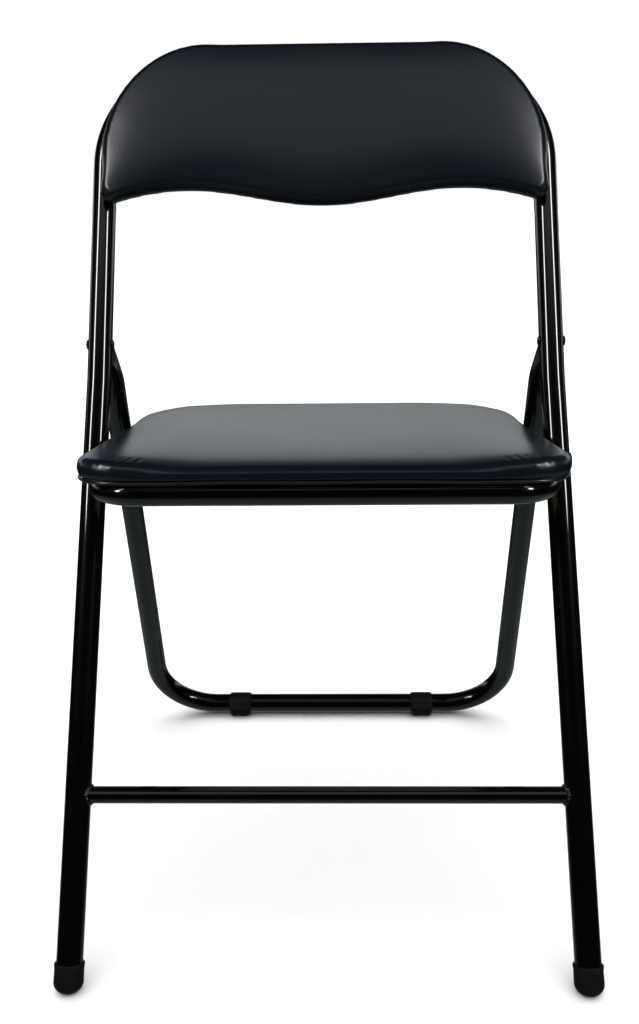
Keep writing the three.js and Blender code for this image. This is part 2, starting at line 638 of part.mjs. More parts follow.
/** An ear welded to the outside of the seat tube, with the pin that the link's upper end meets. */
function seatEar(side, label) {
  const outline = new THREE.Shape();
  const top = { half: 15, height: 6 }; // where it is welded to the tube
  outline.moveTo(EAR_BACK + top.half, top.height);
  outline.lineTo(EAR_BACK - top.half, top.height);
  outline.lineTo(EAR_BACK - EAR_R, -EAR_DROP);
  outline.absarc(EAR_BACK, -EAR_DROP, EAR_R, Math.PI, 2 * Math.PI, false);
  outline.closePath();
  outline.holes.push(new THREE.Path().absarc(EAR_BACK, -EAR_DROP, PIN_R + GAP, 0, 2 * Math.PI, true));
  const tubeFace = seatTubeHalfWidth(EAR_BACK - top.half) + SEAT_TUBE_R;
  const earX = tubeFace + GAP + EAR_T / 2;
  add(seat, `seat_ear_${label}`, sheetAcrossX(outline, EAR_T, side * earX), ENAMEL);

  const inner = earX - EAR_T / 2 - GAP;
  const shoulder = earX + EAR_T / 2 + GAP;
  const end = LINK_X - LINK_T / 2 - 0.4; // short of the link, which passes it
  const pin = turnedAlongX([
    [0, inner - 2], [4, inner - 1.6], [5, inner], [PIN_R, inner],
    [PIN_R, shoulder], [5.5, shoulder], [5.5, end], [0, end],
  ]);
  if (side < 0) pin.rotateY(Math.PI);
  add(seat, `seat_ear_pin_${label}`, pin.translate(0, EAR_BACK, -EAR_DROP), ZINC);
}

// ---------------------------------------------------------------- links

/** A flat steel link from the rear leg to the seat's ear. */
function seatLink(side, label) {
  const outline = new THREE.Shape();
  outline.absarc(0, 0, LINK_HALF_W, Math.PI / 2, 1.5 * Math.PI, false);
  outline.absarc(LINK_LENGTH, 0, LINK_HALF_W, -Math.PI / 2, Math.PI / 2, false);
  outline.closePath();
  const hole = new THREE.Path().absarc(0, 0, PIN_R + GAP, 0, 2 * Math.PI, true);
  outline.holes.push(hole);
  add(links, `seat_link_${label}`, sheetAcrossX(outline, LINK_T, side * LINK_X), ENAMEL);

  // The upper end's rivet head. The pin that it belongs to stops short of the link on the seat's side.
  const face = LINK_X + LINK_T / 2 + GAP;
  const head = turnedAlongX([[0, face], [4.6, face], [4, face + 1], [0, face + 1.4]]);
  if (side < 0) head.rotateY(Math.PI);
  add(links, `link_upper_rivet_${label}`, head.translate(0, LINK_LENGTH, 0), ENAMEL);
}

/** The rear leg's pin for the link, blind in the tube's inner wall, with a washer under the link. */
function linkPin(side, label) {
  const legFace = rearHalfWidth(LINK_HOLE_DROP) - REAR_R;
  const headFace = LINK_X - LINK_T / 2 - GAP;
  const pin = turnedAlongX([
    [0, headFace - 1.2], [4.4, headFace - 0.9], [5, headFace], [PIN_R, headFace],
    [PIN_R, legFace + 3], [0, legFace + 3.6],
  ]);
  const washer = sleeveOnX(PIN_R + GAP, 6.5, LINK_X + LINK_T / 2 + GAP, legFace - GAP);
  [[`link_pin_${label}`, pin], [`link_washer_${label}`, washer]].forEach(([name, piece]) => {
    if (side < 0) piece.rotateY(Math.PI);
    add(rearFrame, name, piece.translate(0, NEST, -LINK_HOLE_DROP), ZINC);
  });
}

// ---------------------------------------------------------------- assembly

frontFrameTube();
frontCrossbar();
backrest();
rearFrameTube();
seatFrameTube();
seatPad();

for (const [label, side] of Object.entries(SIDES)) {
  frontFoot(`front_foot_${label}`, side);
  backrestTab(`backrest_tab_${label}`, side);
  upperPivotRivet(`upper_pivot_rivet_${label}`, side);
  seatPivot(side, label);
  rearGlide(`rear_glide_${label}`, side);
  seatEar(side, label);
  seatLink(side, label);
  linkPin(side, label);
}

// The origin moves to the middle of the footprint.
chair.updateMatrixWorld(true);
const box = new THREE.Box3().setFromObject(chair, true);
chair.position.y = -(box.min.y + box.max.y) / 2;

export default chair;
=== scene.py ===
"""A folding chair: glossy black steel tubes, padded vinyl seat and backrest, rubber feet.

Metres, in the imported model's frame: +Z up, the sitter faces -Y, and +X is the sitter's left.
"""

import json
from functools import partial
from math import atan2, ceil, copysign, cos, exp, hypot, pi, radians, sin, sqrt, tan

import bmesh
import bpy
import numpy as np
from mathutils import Matrix, Quaternion, Vector


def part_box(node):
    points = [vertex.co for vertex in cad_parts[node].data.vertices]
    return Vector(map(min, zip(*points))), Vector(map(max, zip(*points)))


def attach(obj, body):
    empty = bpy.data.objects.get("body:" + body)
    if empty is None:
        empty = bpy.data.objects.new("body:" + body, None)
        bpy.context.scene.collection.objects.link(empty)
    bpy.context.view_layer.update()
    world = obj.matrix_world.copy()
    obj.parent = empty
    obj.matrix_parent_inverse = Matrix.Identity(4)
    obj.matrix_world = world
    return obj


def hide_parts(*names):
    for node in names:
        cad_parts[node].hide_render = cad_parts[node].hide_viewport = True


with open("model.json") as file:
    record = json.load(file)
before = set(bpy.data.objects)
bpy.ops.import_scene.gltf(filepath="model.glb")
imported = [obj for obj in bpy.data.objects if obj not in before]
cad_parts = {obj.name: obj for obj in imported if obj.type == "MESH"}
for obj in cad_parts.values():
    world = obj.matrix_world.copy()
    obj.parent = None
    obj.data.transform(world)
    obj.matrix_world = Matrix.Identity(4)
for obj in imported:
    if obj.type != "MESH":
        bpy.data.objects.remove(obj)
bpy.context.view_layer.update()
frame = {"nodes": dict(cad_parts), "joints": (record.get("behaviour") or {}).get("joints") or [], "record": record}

# -------- driving dimensions

GAP = 0.0003
SIDES = {"left": 1, "right": -1}

LEG_R = 0.011
TUBE_WALL = 0.0012
FOOT_HALF_WIDTH = 0.215  # half-widths are to the tube's axis
WAIST_HALF_WIDTH = 0.2062
WAIST_UP = 0.520  # "up" is measured along the front legs from the floor
WAIST_BEND_R = 0.3
SHOULDER_HALF_WIDTH = 0.208
HOOP_UP = 0.832
HOOP_BEND_R = 0.104
LEG_END_UP = 0.007
CROSSBAR_R = 0.007
CROSSBAR_UP = 0.157
SLOT = {"width": 0.0042, "depth": 0.010, "length": 0.041, "back": 0.008}

REAR_R = 0.011
NEST = 2 * LEG_R + 0.0006  # the rear legs' axis lies this far behind the upper pivot
REAR_BAR_HEIGHT = 0.0133
REAR_TOP_HALF_WIDTH = 0.206
REAR_BAR_HALF_WIDTH = 0.212
REAR_BEND_R = 0.070
REAR_FLAT_END = 0.059  # the legs' last stretch below the pivot is pressed flat
TONGUE_T = 0.0032
TONGUE_TIP_R = 0.0085
BLADE_HALF_WIDTH = 0.014
BLADE_DROP = 0.016

SEAT_FRONT = -0.1538  # along the seat from its pivot
SEAT_REAR = 0.2302
PAD_FRONT_HALF_WIDTH = 0.193
PAD_REAR_HALF_WIDTH = 0.186
PAD_FRONT_CORNER_R = 0.040
PAD_REAR_CORNER_R = 0.104
PAD_CORNER_INSET = 0.012  # a front corner inset further than this keeps its radius
REAR_FULLNESS = 0.004  # the padding squares its rear corners by this much radius
SIDE_SLACK = {"y": 0.135, "length": 0.06, "depth": 0.0038}  # the loose cover, proud of the sides
FOLDED_LINK = {"y": 0.030, "reach": 0.022, "x": 0.1885, "spread": 25}  # where the sides yield to it
SEAT_CROWN = {"height": 0.002, "squareness": 10}
FRONT_FALL = {"depth": 0.0068, "start": 0.2, "power": 1.9, "corner": 0.5, "blend": 0.42}
PAD_TOP = 0.027  # above the seat tube's axis
PAD_EDGE_R = 0.0045
PAD_FOLD_R = 0.0045  # where the covers turn under
SEAT_TUBE_R = 0.010
SEAT_TUBE_INSET = 0.015
SEAT_TUBE_FRONT_R = 0.038
BOARD_T = 0.008
BOARD_INSET = 0.005

BACK_FACE = -LEG_R - 0.0004
BACK_SLAB_T = 0.016  # its crown comes on top
BACK_CROWN = {"height": 0.006, "squareness": 6, "roundness": 2.6}
BACK_BOARD_T = 0.006
BACK_HALF_WIDTH = 0.206
BACK_TOP_UP = 0.839
BACK_EDGE_R = 0.0075
BACK_CORNER_R = 0.012
BACK_SHOULDER = {"x": 0.110, "up": 0.730}
BACK_WAVE = {"x": 0.125, "up": 0.6945, "dip": 0.0156, "rise": 0.016}
TAB_UP = 0.706
TAB_T = 0.002

EAR = {"back": 0.065, "drop": 0.016, "radius": 0.009}
LINK_HALF_W = 0.009
PIN_R = 0.003
BOLT_R = 0.004
SCREW_R = 0.0022
SCREW_SHANK = {"seat": 0.026, "hoop": 0.027, "tab": 0.007}

FOOT_R = 0.0124
FOOT_UP = 0.024
BAR_BEHIND_FEET = 0.458
GLIDE_X = 0.113
GLIDE_LENGTH = 0.026

TUBE_SIDES = 48
BEND_STEP = radians(3)
SMOOTH_ANGLE = radians(38)
PAD_VOXEL = 0.003
PAD_BELLY = {"depth": 0.0015, "reach": 0.008}


# -------- frames of the four assemblies

def joint(name):
    """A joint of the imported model, as its record says it."""
    return next(j for j in frame["joints"] if j["name"] == name)


def side_frame(place, turn):
    """A frame in the side view, through a joint's axis, turned about X."""
    return Matrix.Translation((0, place[1], place[2])) @ Matrix.Rotation(turn, 4, "X")


seat_pivot = Vector(joint("seat_fold")["pos_m"])
upper_pivot = Vector(joint("rear_leg_fold")["pos_m"])
link_hole = Vector(joint("link_left_swing")["pos_m"])
along_leg = (upper_pivot - seat_pivot).normalized()

LEAN = atan2(along_leg.y, along_leg.z)
SEAT_FOLD = radians(joint("seat_fold")["range_deg"][1])
SEAT_SLOPE = pi / 2 + LEAN - SEAT_FOLD
PIVOT_UP = upper_pivot.z / cos(LEAN)
SEAT_PIVOT_UP = seat_pivot.z / cos(LEAN)

# The link's hole is on the rear leg's axis, which passes NEST behind the upper pivot.
to_hole = link_hole - upper_pivot
LINK_HOLE_DROP = sqrt(to_hole.y ** 2 + to_hole.z ** 2 - NEST ** 2)
REAR_LEAN = atan2(to_hole.y, -to_hole.z) - atan2(NEST, LINK_HOLE_DROP)
REAR_LENGTH = (upper_pivot.z + NEST * sin(REAR_LEAN) - REAR_BAR_HEIGHT) / cos(REAR_LEAN)

FRONT = side_frame(seat_pivot - along_leg * SEAT_PIVOT_UP, -LEAN)
REAR = side_frame(upper_pivot, REAR_LEAN)
SEAT = side_frame(seat_pivot, -SEAT_SLOPE)
BACK = FRONT @ Matrix.Translation((0, BACK_FACE, 0)) @ Matrix.Rotation(pi / 2, 4, "X")


def lerp(a, b, share):
    return a + (b - a) * share


def smoothstep(share):
    share = min(1.0, max(0.0, share))
    return share * share * (3 - 2 * share)


def quarter(steps):
    return [pi / 2 * i / steps for i in range(steps + 1)]


def front_half_width(up):
    """Half-width of the front tube's axis up the legs."""
    if up < WAIST_UP:
        return lerp(FOOT_HALF_WIDTH, WAIST_HALF_WIDTH, up / WAIST_UP)
    share = (up - WAIST_UP) / (HOOP_UP - HOOP_BEND_R - WAIST_UP)
    return lerp(WAIST_HALF_WIDTH, SHOULDER_HALF_WIDTH, min(1, share))


def rear_half_width(drop):
    return lerp(REAR_TOP_HALF_WIDTH, REAR_BAR_HALF_WIDTH, drop / REAR_LENGTH)


def pad_half_width(along):
    """Half-width of the seat pad's straight sides, drawn on past its corners."""
    front = SEAT_FRONT + PAD_FRONT_CORNER_R
    rear = SEAT_REAR - PAD_REAR_CORNER_R
    return lerp(PAD_FRONT_HALF_WIDTH, PAD_REAR_HALF_WIDTH, (along - front) / (rear - front))


# -------- materials

def configured(made, settings):
    for key, value in settings.items():
        setattr(made, key, value)
    return made


def add_node(tree, kind, **settings):
    return configured(tree.nodes.new(kind), settings)


class Look:
    """A node material: a Principled shader and short ways to add nodes to it."""

    def __init__(self, name, **constants):
        self.material = bpy.data.materials.new(name)
        self.material.use_nodes = True
        self.tree = self.material.node_tree
        self.node = partial(add_node, self.tree)
        self.shader = self.tree.nodes["Principled BSDF"]
        self.place = self.node("ShaderNodeTexCoord").outputs["Object"]
        self.set(self.shader, **constants)

    def set(self, node, **inputs):
        for key, value in inputs.items():
            node.inputs[key.replace("_", " ")].default_value = value

    def link(self, source, target):
        self.tree.links.new(source, target)

    def stretched(self, scale):
        """Object coordinates, scaled differently along X, Y and Z."""
        mapping = self.node("ShaderNodeMapping")
        mapping.inputs["Scale"].default_value = scale
        self.link(self.place, mapping.inputs["Vector"])
        return mapping.outputs["Vector"]

    def noise(self, scale, detail=3.0, roughness=0.55, vector=None):
        made = self.node("ShaderNodeTexNoise")
        self.set(made, Scale=scale, Detail=detail, Roughness=roughness)
        self.link(vector or self.place, made.inputs["Vector"])
        return made.outputs["Fac"]

    def pebbles(self, scale):
        """The distance to the nearest border between cells."""
        made = self.node("ShaderNodeTexVoronoi", feature="DISTANCE_TO_EDGE")
        self.set(made, Scale=scale)
        self.link(self.place, made.inputs["Vector"])
        return made.outputs["Distance"]

    def ranged(self, value, from_low, from_high, to_low, to_high):
        made = self.node("ShaderNodeMapRange")
        for key, number in zip(("From Min", "From Max", "To Min", "To Max"),
                               (from_low, from_high, to_low, to_high)):
            made.inputs[key].default_value = number
        self.link(value, made.inputs["Value"])
        return made.outputs["Result"]

    def colours(self, value, stops):
        """A colour ramp over value, from (position, colour) stops."""
        made = self.node("ShaderNodeValToRGB")
        ramp = made.color_ramp
        while len(ramp.elements) < len(stops):
            ramp.elements.new(0.5)
        for element, (position, colour) in zip(ramp.elements, stops):
            element.position = position
            element.color = (*colour, 1)
        self.link(value, made.inputs["Fac"])
        return made.outputs["Color"]

    def bump(self, height, depth, under=None):
        """Adds relief of the given depth in metres, over any relief made before."""
        made = self.node("ShaderNodeBump")
        self.set(made, Strength=1.0, Distance=depth)
        self.link(height, made.inputs["Height"])
        if under:
            self.link(under, made.inputs["Normal"])
        return made.outputs["Normal"]

    def finish(self, colour=None, roughness=None, normal=None):
        for key, output in (("Base Color", colour), ("Roughness", roughness), ("Normal", normal)):
            if output:
                self.link(output, self.shader.inputs[key])
        return self.material


def enamel():
    """Stoved black enamel on steel: a hard gloss with a faint orange peel."""
    look = Look("black_enamel", Specular_IOR_Level=0.05, Coat_Weight=1.0, Coat_Roughness=0.045)
    cloud = look.noise(14, detail=5)
    colour = look.colours(cloud, [(0.35, (0.0003, 0.0004, 0.0007)), (0.7, (0.0007, 0.0008, 0.0013))])
    roughness = look.ranged(look.noise(90), 0.3, 0.7, 0.26, 0.36)
    peel = look.bump(look.noise(240, detail=1.0), 0.000004)
    return look.finish(colour, roughness, peel)


def vinyl():
    """Smooth leatherette: blue-black, satin, with a fine pebbled grain and soft clouding."""
    look = Look("charcoal_vinyl", IOR=1.48)
    cloud = look.noise(5, detail=3)
    colour = look.colours(cloud, [(0.35, (0.0012, 0.0028, 0.0075)), (0.65, (0.0020, 0.0040, 0.0070))])
    roughness = look.ranged(look.noise(6, detail=1), 0.2, 0.8, 0.27, 0.30)
    grain = look.bump(look.ranged(look.pebbles(900), 0.0, 0.35, 0.0, 1.0), 0.000015)
    grain = look.bump(look.noise(700, detail=2), 0.00001, under=grain)
    return look.finish(colour, roughness, grain)


def rubber():
    """Matt black moulded rubber, slightly dusty."""
    look = Look("moulded_rubber", Specular_IOR_Level=0.15)
    dust = look.noise(120, detail=6)
    colour = look.colours(dust, [(0.35, (0.001, 0.001, 0.0018)), (0.75, (0.003, 0.003, 0.0042))])
    roughness = look.ranged(dust, 0.3, 0.7, 0.55, 0.8)
    return look.finish(colour, roughness, look.bump(look.noise(900, detail=2), 0.00004))


def wood(name, stops, rough, relief):
    """Long grain along X, which colours, dulls and roughens the face."""
    look = Look(name, IOR=1.45)
    grain = look.noise(1.0, detail=6, roughness=0.65, vector=look.stretched((9, 130, 130)))
    roughness = look.ranged(grain, 0.3, 0.7, *rough)
    return look.finish(look.colours(grain, stops), roughness, look.bump(grain, relief))


def plywood():
    """Bare beech."""
    stops = [(0.25, (0.20, 0.125, 0.065)), (0.5, (0.36, 0.245, 0.14)), (0.8, (0.46, 0.33, 0.20))]
    return wood("beech_plywood", stops, (0.55, 0.72), 0.00015)


def painted_board():
    """Matt black paint, the grain showing through."""
    stops = [(0.3, (0.009, 0.009, 0.010)), (0.75, (0.019, 0.019, 0.021))]
    return wood("painted_board", stops, (0.5, 0.7), 0.0002)


def zinc():
    """Bright zinc plate with faint turning marks and duller patches."""
    look = Look("zinc_plate", Metallic=1.0)
    patches = look.noise(150, detail=4)
    colour = look.colours(patches, [(0.3, (0.42, 0.43, 0.45)), (0.7, (0.60, 0.61, 0.63))])
    roughness = look.ranged(patches, 0.3, 0.7, 0.24, 0.42)
    marks = look.noise(1.0, vector=look.stretched((3500, 400, 400)))
    return look.finish(colour, roughness, look.bump(marks, 0.00002))


LOOKS = {
    "enamel": enamel(),
    "vinyl": vinyl(),
    "foot_rubber": rubber(),
    "plywood": plywood(),
    "back_board": painted_board(),
    "zinc": zinc(),
}
LOOKS["glide_rubber"] = LOOKS["foot_rubber"]


def dress_cad_nodes():
    """Gives every CAD node that stays in view its slot's material."""
    slots = {s["node"]: s["material_slot"] for s in frame["record"]["subparts"]}
    for name, node in frame["nodes"].items():
        node.data.materials.clear()
        node.data.materials.append(LOOKS[slots[name]])


# -------- mesh tools

def add_object(name, bm):
    mesh = bpy.data.meshes.new(name)
    bm.to_mesh(mesh)
    bm.free()
    made = bpy.data.objects.new(name, mesh)
    bpy.context.scene.collection.objects.link(made)
    return made


def place_piece(made, body, slot, replaces=()):
    """Gives a finished mesh its shading, its material, its body and the nodes it stands for."""
    made.data.materials.clear()
    made.data.materials.append(LOOKS[slot])
    made.data.polygons.foreach_set("use_smooth", [True] * len(made.data.polygons))
    made.data.set_sharp_from_angle(angle=SMOOTH_ANGLE)
    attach(made, body)
    if replaces:
        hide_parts(*replaces)


def add_piece(name, bm, place, body, slot, replaces=()):
    bm.transform(place)
    place_piece(add_object(name, bm), body, slot, replaces)


def apply_modifiers(made):
    """Replaces an object's mesh with what its modifiers make of it."""
    graph = bpy.context.evaluated_depsgraph_get()
    mesh = bpy.data.meshes.new_from_object(made.evaluated_get(graph), depsgraph=graph)
    made.modifiers.clear()
    old = made.data
    made.data = mesh
    bpy.data.meshes.remove(old)


def modify(made, kind, **settings):
    """Adds one modifier and applies it."""
    configured(made.modifiers.new(kind, kind), settings)
    apply_modifiers(made)


def cut(made, *cutters):
    """Takes closed meshes away from an object's mesh."""
    for bm in cutters:
        cutter = add_object("cutter", bm)
        modify(made, "BOOLEAN", operation="DIFFERENCE", solver="EXACT", object=cutter)
        bpy.data.objects.remove(cutter)


def angles(count):
    return [2 * pi * (i + 0.5) / count for i in range(count)]


def skin(rings, closed=False):
    """A mesh over rings of points with equal counts. Open ends get flat caps."""
    bm = bmesh.new()
    loops = [[bm.verts.new(point) for point in ring] for ring in rings]
    pairs = list(zip(loops, loops[1:]))
    if closed:
        pairs.append((loops[-1], loops[0]))
    for low, high in pairs:
        for i in range(len(low)):
            bm.faces.new((low[i - 1], low[i], high[i], high[i - 1]))
    if not closed:
        bm.faces.new(loops[0])
        bm.faces.new(loops[-1])
    bmesh.ops.recalc_face_normals(bm, faces=bm.faces)
    return bm


def turned(profile, place, segments=40, closed=False):
    """A piece turned about its Z axis, from (radius, height) pairs."""
    bm = bmesh.new()
    loops = []
    for radius, height in profile:
        if radius < 1e-7:
            loops.append([bm.verts.new((0, 0, height))])
            continue
        loops.append([bm.verts.new((radius * cos(a), radius * sin(a), height))
                      for a in angles(segments)])
    pairs = list(zip(loops, loops[1:]))
    if closed:
        pairs.append((loops[-1], loops[0]))
    for low, high in pairs:
        for i in range(segments):
            corners = [low[(i - 1) % len(low)], low[i % len(low)],
                       high[i % len(high)], high[(i - 1) % len(high)]]
            bm.faces.new(list(dict.fromkeys(corners)))
    bmesh.ops.recalc_face_normals(bm, faces=bm.faces)
    bm.transform(place)
    return bm


def arc(centre, radius, start, end, steps=24):
    """Points round an arc, its angles in degrees."""
    turn = [radians(lerp(start, end, i / steps)) for i in range(steps + 1)]
    return [(centre[0] + radius * cos(a), centre[1] + radius * sin(a)) for a in turn]


def block(size, centre):
    bm = bmesh.new()
    bmesh.ops.create_cube(bm, size=1.0)
    bm.transform(Matrix.Translation(centre) @ Matrix.Diagonal((*size, 1)))
    return bm


def bent_route(corners, radii, closed=False):
    """(point, direction) stations along straights and round bends."""
    stations = []
    count = len(corners)
    for i, (corner, radius) in enumerate(zip(corners, radii)):
        if not closed and i in (0, count - 1):
            ends = (corners[0], corners[1]) if i == 0 else (corners[-2], corners[-1])
            stations.append((corner, (ends[1] - ends[0]).normalized()))
            continue
        enter = (corner - corners[i - 1]).normalized()
        leave = (corners[(i + 1) % count] - corner).normalized()
        angle = enter.angle(leave)
        inward = (leave - enter * cos(angle)).normalized()
        start = corner - enter * radius * tan(angle / 2)
        steps = max(2, ceil(angle / BEND_STEP))
        for k in range(steps + 1):
            turn = angle * k / steps
            point = start + enter * radius * sin(turn) + inward * radius * (1 - cos(turn))
            stations.append((point, enter * cos(turn) + inward * sin(turn)))
    return stations


def section(station, normal, radius, half_width=None, shift=0.0):
    """A tube's section at a station: round, or pressed to half_width along the normal."""
    point, along = station
    side = along.cross(normal)
    flat = (half_width or radius) - radius
    ring = []
    for a in angles(TUBE_SIDES):
        reach = shift + copysign(flat, sin(a)) + radius * sin(a)
        ring.append(point + side * radius * cos(a) + normal * reach)
    return ring


def hollow_tube(stations, normal, radius):
    outer = [section(s, normal, radius) for s in stations]
    inner = [section(s, normal, radius - TUBE_WALL) for s in reversed(stations)]
    return skin(outer + inner, closed=True)


def mirror(points):
    """The mirror image of some points, on the chair's other side."""
    return [Vector((-p.x, p.y, p.z)) for p in points]


def mirrored(points):
    """A half route followed by its mirror image."""
    return points + mirror(reversed(points))


def along_x(side, place):
    """Turns a Z axis to point outwards along X, on the left or right side."""
    return place @ Matrix.Rotation(side * pi / 2, 4, "Y")


# -------- front frame

def front_frame():
    half = [
        Vector((front_half_width(LEG_END_UP), 0, LEG_END_UP)),
        Vector((WAIST_HALF_WIDTH, 0, WAIST_UP)),
        Vector((SHOULDER_HALF_WIDTH, 0, HOOP_UP)),
    ]
    radii = [0, WAIST_BEND_R, HOOP_BEND_R, HOOP_BEND_R, WAIST_BEND_R, 0]
    bm = hollow_tube(bent_route(mirrored(half), radii), Vector((0, 1, 0)), LEG_R)
    made = add_object("front_frame_enamelled", bm)
    size = (SLOT["width"], SLOT["depth"], SLOT["length"])
    cut(made, *[block(size, (side * front_half_width(PIVOT_UP), SLOT["back"], PIVOT_UP))
                for side in SIDES.values()])
    made.data.transform(FRONT)
    place_piece(made, "front_frame", "enamel", ["front_frame_tube"])


def crossbar():
    """A thin tube coped to the legs, with a small weld bead round each end."""
    half = front_half_width(CROSSBAR_UP)
    tip = half - LEG_R * 0.6  # the ends stand inside the legs' walls
    ends = [Vector((-tip, 0, CROSSBAR_UP)), Vector((tip, 0, CROSSBAR_UP))]
    bm = hollow_tube(bent_route(ends, [0, 0]), Vector((0, 1, 0)), CROSSBAR_R)
    add_piece("front_crossbar_enamelled", bm, FRONT, "front_frame", "enamel", ["front_crossbar"])
    for label, side in SIDES.items():
        weld(f"crossbar_weld_{label}", side, half)


def weld(name, side, half):
    """A fillet of weld where the crossbar meets the leg's round wall, laid in overlapping ripples."""
    ring_count, ripples, ripple, bead = 96, 17, 0.16, 0.0017
    rings = []
    for turn in angles(ring_count):
        swell = 1 + ripple * cos(ripples * turn)
        across = CROSSBAR_R * sin(turn)
        wall = half - sqrt(LEG_R ** 2 - across ** 2)
        centre = Vector((side * wall, across, CROSSBAR_UP + CROSSBAR_R * cos(turn)))
        out = Vector((0, sin(turn), cos(turn)))
        inward = Vector((-side, 0, 0))
        rings.append([centre + (out * cos(a) + inward * sin(a)) * bead * swell
                      for a in angles(12)])
    add_piece(name, skin(rings, closed=True), FRONT, "front_frame", "enamel")


def front_foot(label, side):
    """A rubber cap with a domed end, worn flat on the floor, and a lip round its mouth."""
    bore, lip, fillet = LEG_R + GAP, FOOT_R + 0.0002, 0.0008
    dome_up, dome_height, inside = 0.0093, 0.0098, LEG_END_UP - 0.0005
    groove_low, groove_high, lip_low = FOOT_UP - 0.0042, FOOT_UP - 0.0036, FOOT_UP - 0.0024
    end = [(FOOT_R * sin(t), dome_up - dome_height * cos(t)) for t in quarter(10)]
    mouth = [(FOOT_R - 0.0002, groove_low), (FOOT_R, groove_high)]
    mouth += arc((lip - fillet, lip_low), fillet, -60, 0, steps=3)
    mouth += arc((lip - fillet, FOOT_UP - fillet), fillet, 0, 90, steps=4)
    taper = atan2(FOOT_HALF_WIDTH - WAIST_HALF_WIDTH, WAIST_UP)
    place = FRONT @ Matrix.Translation((side * FOOT_HALF_WIDTH, 0, 0))
    place = place @ Matrix.Rotation(-side * taper, 4, "Y")
    profile = end + mouth + [(bore, FOOT_UP), (bore, inside), (0, inside)]
    bm = turned(profile, place, segments=56)
    for vert in bm.verts:
        vert.co.z = max(vert.co.z, 0)
    made = add_object(f"front_foot_moulded_{label}", bm)
    place_piece(made, "front_frame", "foot_rubber", [f"front_foot_{label}"])


# -------- rear frame

def tongue_edges(up):
    """Front and rear edge of the flattened end at a height above the pivot."""
    front, rear = NEST - REAR_R, NEST - REAR_R + 2 * BLADE_HALF_WIDTH
    wide, tip_low, neck, tip_high = -0.020, -0.0076, 0.001, 0.0081
    neck_rear, tip_rear = NEST + 0.004, 0.0025
    if up <= wide:
        return front, rear
    if up < tip_low:
        share = (up - wide) / (tip_low - wide)
        low = lerp(front, -sqrt(TONGUE_TIP_R ** 2 - tip_low ** 2), share)
    else:
        low = -sqrt(max(0, TONGUE_TIP_R ** 2 - up ** 2))
    if up < neck:
        high = lerp(rear, neck_rear, smoothstep((up - wide) / (neck - wide)) ** 1.6)
    elif up < tip_high:
        high = lerp(neck_rear, tip_rear, (up - neck) / (tip_high - neck))
    else:
        high = sqrt(max(0, TONGUE_TIP_R ** 2 - up ** 2))
    return low, high


def flattened_end():
    """Sections from the tip of the left leg's tongue down to its round tube."""
    normal, down = Vector((0, 1, 0)), Vector((0, 0, -1))
    rings = []
    tip = TONGUE_TIP_R * 0.9995  # just short of the top, where the section would have no width
    for turn in quarter(24):
        up = lerp(tip, -BLADE_DROP, 1 - cos(turn))
        low, high = tongue_edges(up)
        half = (high - low) / 2
        station = (Vector((rear_half_width(-min(up, 0)), NEST, up)), down)
        rings.append(section(station, normal, min(TONGUE_T / 2, half), half, (high + low) / 2 - NEST))
    for i in range(1, 25):
        drop = lerp(BLADE_DROP, REAR_FLAT_END, i / 24)
        round_share = smoothstep(i / 24)
        radius = lerp(TONGUE_T / 2, REAR_R, round_share)
        half = lerp(BLADE_HALF_WIDTH, REAR_R, round_share)
        station = (Vector((rear_half_width(drop), NEST, -drop)), down)
        rings.append(section(station, normal, radius, half, half - REAR_R))
    return rings


def rear_frame():
    normal = Vector((0, 1, 0))
    half = [
        Vector((rear_half_width(REAR_FLAT_END), NEST, -REAR_FLAT_END)),
        Vector((REAR_BAR_HALF_WIDTH, NEST, -REAR_LENGTH)),
    ]
    stations = bent_route(mirrored(half), [0, REAR_BEND_R, REAR_BEND_R, 0])[1:-1]
    left_end = flattened_end()
    right_end = [mirror(ring) for ring in reversed(left_end)]
    rings = left_end + [section(s, normal, REAR_R) for s in stations] + right_end
    add_piece("rear_frame_enamelled", skin(rings), REAR, "rear_frame", "enamel", ["rear_frame_tube"])


def rear_glide(label, side):
    """A rubber saddle on the floor bar: a thin strap over the top, a thick block under the front."""
    stations, facets = 15, 64
    bore, strap, block_t, block_turn = REAR_R + GAP, 0.0017, 0.0046, radians(70)
    plain, thin = 0.72, 0.55  # share of the length before its ends taper, and how thin they get
    centre = FRONT.translation + Vector((0, BAR_BEHIND_FEET, REAR_BAR_HEIGHT))
    outer, inner = [], []
    for i in range(stations):
        share = 2 * i / (stations - 1) - 1
        axis = Vector((side * GLIDE_X + share * GLIDE_LENGTH / 2, centre.y, centre.z))
        end = 1 - max(0.0, (abs(share) - plain) / (1 - plain)) ** 2
        ring_out, ring_in = [], []
        for a in angles(facets):
            down = max(0.0, cos(a + block_turn))
            thick = strap * lerp(thin, 1, end) + (block_t - strap) * smoothstep(down * 1.7) * end
            around = Vector((0, -cos(a), sin(a)))
            point = axis + around * (bore + thick)
            point.z = max(point.z, 0)
            ring_out.append(point)
            ring_in.append(axis + around * bore)
        outer.append(ring_out)
        inner.append(ring_in)
    made = add_object(f"rear_glide_moulded_{label}", skin(outer + inner[::-1], closed=True))
    place_piece(made, "rear_frame", "glide_rubber", [f"rear_glide_{label}"])


# -------- padded pieces

def link_room(y):
    """How far out the seat pad's side may reach, clear of the folded links."""
    away = max(0.0, abs(y - FOLDED_LINK["y"]) - FOLDED_LINK["reach"])
    return FOLDED_LINK["x"] + FOLDED_LINK["spread"] * away ** 2


def side_slack(y):
    """How far the loose cover stands proud of the seat pad's side."""
    return SIDE_SLACK["depth"] * exp(-(((y - SIDE_SLACK["y"]) / SIDE_SLACK["length"]) ** 2))


